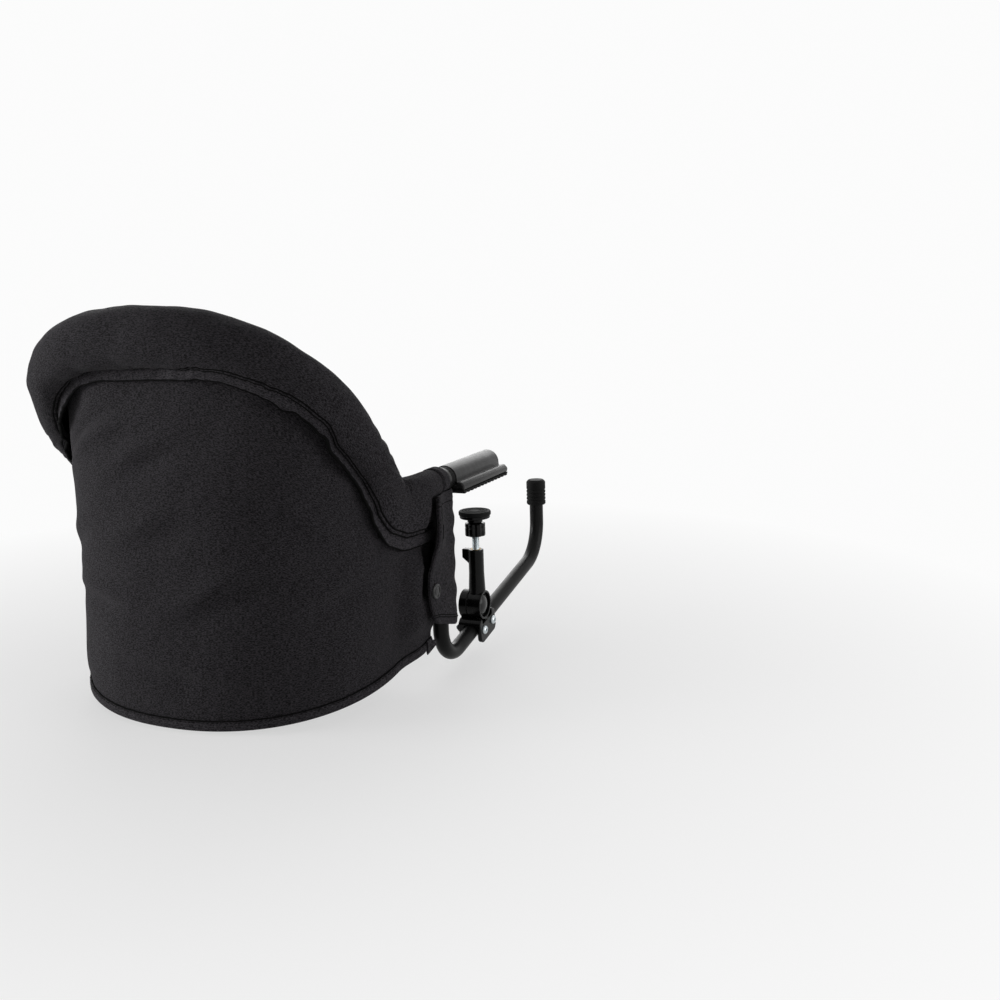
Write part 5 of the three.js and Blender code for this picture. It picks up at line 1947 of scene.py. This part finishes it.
def nutParts():
    inner, outer, bore = saddleNut["inner"], saddleNut["outer"], saddleNut["bore"]
    across = hexRadius(saddleNut["flat"])

    def eased(angle):
        return min(across(angle), saddleNut["eased"])

    rows = [(bore, inner), (eased, inner), (across, inner - 0.5), (across, outer + 1.4),
            (eased, outer + 0.9), (3.6, outer + 0.8), (3.4, outer), (bore, outer)]
    return hollowParts(rows, "y", (0, 0), 48)


# Clamp screw with a real thread, right-handed on both sides
spindle = {
    "low": -105.5, "high": -39.7, "radius": 4, "pitch": 1.25, "depth": 0.62, "lead": 1.2, "count": 24,
    "turnSteps": 6,
}


def spindleParts(side):
    low, high, pitch, count = (spindle[key] for key in ("low", "high", "pitch", "count"))
    rings = []
    steps = round((high - low) / pitch * spindle["turnSteps"])
    for i in range(steps + 1):
        z = lerp(low, high, i / steps)
        lead = min(ease(z, low, low + spindle["lead"]), ease(-z, -high, -high + spindle["lead"]))
        ring = []
        for k in range(count):
            angle = 2 * math.pi * k / count
            phase = (z / pitch - side * k / count) % 1
            depth = abs(phase - 0.5) * 2
            radius = (spindle["radius"] - spindle["depth"] * depth) * (0.78 + 0.22 * lead)
            ring.append(axisPoint("z", screwCentre, radius * math.cos(angle), radius * math.sin(angle), z))
        rings.append(ring)
    return loftParts(rings, cap="fan")[:2]


# Lobed knob on the screw, with a groove below its top
knob = {
    "bore": 4.3, "lobes": 8, "lobe": 0.55, "hollow": 0.2,
    # radius and height of each row
    "rows": [(8.6, -58), (10.0, -57.6), (10.6, -56.6), (10.6, -49.4), (10.2, -48.8), (10.2, -48.2),
             (10.6, -47.6), (10.6, -45.2), (10.0, -44.3), (8.8, -44)],
}


def lobed(size):
    def reach(angle):
        turn = knob["lobes"] * angle
        return size + knob["lobe"] * math.cos(turn) - knob["hollow"] * math.cos(2 * turn)
    return reach


def knobParts():
    rows = [(lobed(size), height) for size, height in knob["rows"]]
    rows = [(knob["bore"], rows[0][1])] + rows + [(knob["bore"], rows[-1][1])]
    return hollowParts(rows, "z", screwCentre, 96)


# Release button with its grey cap
button = {"back": 8.3, "radius": 12.75, "shoulder": 9.6, "dome": 10.6, "rise": 3.4}

# Conical spring behind the button, in its rest shape between the tower's floor and the button's back
spring = {"wire": 0.5, "wide": 11.7, "narrow": 7.8, "turns": 2.25, "clear": 0.3, "keep": 0.3, "steps": 90}


def springParts():
    seat = spring["clear"] + spring["wire"]
    path = []
    for i in range(spring["steps"] + 1):
        share = i / spring["steps"]
        turn = 2 * math.pi * spring["turns"] * share
        reach = lerp(spring["wide"], spring["narrow"], share)
        height = lerp(clamp["floor"] + seat, button["back"] - seat, share)
        path.append(axisPoint("y", hubCentre, reach * math.cos(turn), reach * math.sin(turn), height))
    return strandParts(path, spring["wire"], 10)


def buttonBody():
    back, edge, step = button["back"], button["radius"], button["shoulder"]
    rows = [(0, back), (edge - 0.4, back), (edge, back + 0.4), (edge, step - 0.5), (edge - 0.5, step),
            (button["dome"] + 0.3, step), (button["dome"] + 0.1, step - 0.4), (0, step - 0.4)]
    return turnedParts(rows, "y", hubCentre, 64)


def buttonDome():
    edge, step = button["dome"], button["shoulder"]
    rows = [(0, step - 0.3), (edge, step - 0.3), (edge, step + 0.2), (edge - 0.3, step + 0.6)]
    for i in range(1, 13):
        share = 1 - i / 12
        rows.append(((edge - 0.3) * share, step + 0.6 + (button["rise"] - 0.6) * (1 - share ** 2)))
    return turnedParts(rows, "y", hubCentre, 64)


# Cup on the screw's end, its ringed rubber face and the hub's rivet: radius and place of each row
turned = {
    "cup": [(0, -43.7), (7.2, -43.7), (8, -42.9), (8, -39.6), (8.8, -38.8), (15.2, -38.8), (16, -38.2),
            (16, -35.8), (0, -35.8)],
    "face": [(0, -35.5), (16.4, -35.5), (17, -34.9), (17, -32), (16.2, -31), (14.4, -31)],
    "faceRings": (12.6, 9.4, 6.2),
    "rivet": [(0, -14.3), (5.4, -14.3), (6.5, -13.5), (6.5, -12.8), (4, -12.8), (4, 3.5), (6.5, 3.5),
              (6.3, 4.6), (5.4, 5), (0, 5)],
}


def faceParts():
    top = chair["tableUnder"]
    rows = list(turned["face"])
    for reach in turned["faceRings"]:
        rows += [(reach + 1.2, top), (reach + 0.7, top - 0.7), (reach - 0.1, top - 0.7), (reach - 0.6, top)]
    rows.append((0, top))
    return turnedParts(rows, "z", screwCentre, 64)


def addClamps():
    cup = turnedParts(turned["cup"], "z", screwCentre, 64, 0.35)
    rivet = turnedParts(turned["rivet"], "y", hubCentre, 48)
    saddle, saddleCuts = saddleParts()
    tower, towerCuts = towerParts()
    for name, side in sides.items():
        adds, cuts = ([placed(part, side) for part in parts] for parts in (saddle, saddleCuts))
        piece = moulded(f"{name}Saddle", adds, cuts)
        finishPiece(piece, "gloss", f"{name}_hook", "gloss_plastic", f"{name}_clamp_saddle")
        adds, cuts = ([placed(part, side) for part in parts] for parts in (tower, towerCuts))
        piece = moulded(f"{name}Tower", adds, cuts)
        addTo(piece, placed(cupParts(), side))
        finishPiece(piece, "gloss", f"{name}_tower", "gloss_plastic", f"{name}_clamp_tower")
        for end, place in (("front", clamp["screws"] / 2), ("rear", -clamp["screws"] / 2)):
            shift = saddlePlace @ Matrix.Translation((place, 0, 0))
            for label, part, finish in (("screw", screwParts(), "zinc"), ("nut", nutParts(), "powder")):
                made = placed(moved(part, shift), side)
                piece = addMesh(f"{name}Saddle{label.title()}{end.title()}", *made, sharp=30)
                finishPiece(piece, finish, f"{name}_hook", "zinc", f"{name}_saddle_{label}_{end}")
        for label, part, finish, slot, body, node in (
            ("HubRivet", rivet, "zinc", "zinc", "hook", "hub_pivot"),
            ("ReleaseButton", buttonBody(), "gloss", "gloss_plastic", "button", "release_button"),
            ("ButtonDome", buttonDome(), "grey", "grey_plastic", "button", None),
            ("ClampScrew", spindleParts(side), "zinc", "zinc", "screw", "spindle"),
            ("ClampKnob", knobParts(), "gloss", "gloss_plastic", "screw", "clamp_knob"),
            ("PadCup", cup, "gloss", "gloss_plastic", "pad", "pad_cup"),
            ("PadFace", faceParts(), "rubber", "rubber", "pad", "pad_rubber"),
        ):
            piece = addMesh(f"{name}{label}", *placed(part, side), sharp=32)
            finishPiece(piece, finish, f"{name}_{body}", slot, *([f"{name}_{node}"] if node else []))
        piece = addMesh(f"{name}ButtonSpring", *placed(springParts(), side))
        finishPiece(piece, "zinc", f"{name}_tower", "zinc", f"{name}_button_spring")
        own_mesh(piece)


# Snap on each flap
snap = {
    "x": -36, "z": -86, "out": 13.5, "radius": 7.5, "lean": math.atan2(3, 45), "dish": 1.45, "crown": 0.5,
}


def addSnaps():
    edge = snap["radius"]
    rows = [(0, 0.2), (edge - 0.5, 0.2), (edge, 0.7), (edge, 1.2), (edge - 0.5, 1.9), (edge - 1.3, 2.2),
            (edge - 2.0, 2.0), (edge - 2.5, 1.5), (edge - 3.4, snap["dish"])]
    for share in (0.45, 0.3, 0.15, 0.0):
        rows.append((edge * share, snap["dish"] + snap["crown"] * (1 - share * share)))
    part = turnedParts(rows, "y", (0, 0), 48)
    place = Matrix.Translation((snap["x"], snap["out"], snap["z"])) @ Matrix.Rotation(snap["lean"], 4, "Z")
    for name, side in sides.items():
        piece = addMesh(f"{name}SnapCap", *placed(moved(part, place), side))
        finishPiece(piece, "grey", "frame", "gloss_plastic", f"{name}_flap_snap")


addClamps()
addSnaps()
print("clamps and snaps made")

# Pieces whose CAD shape is already right
kept = {"rim_tube": "powder", "seat_board": "wood", "arm_joint": "powder", "joint_screw": "zinc",
        "thread_insert": "brass"}
for name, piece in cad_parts.items():
    finish = kept.get(name) or kept.get(name.partition("_")[2])
    if finish:
        coat(piece, finish)
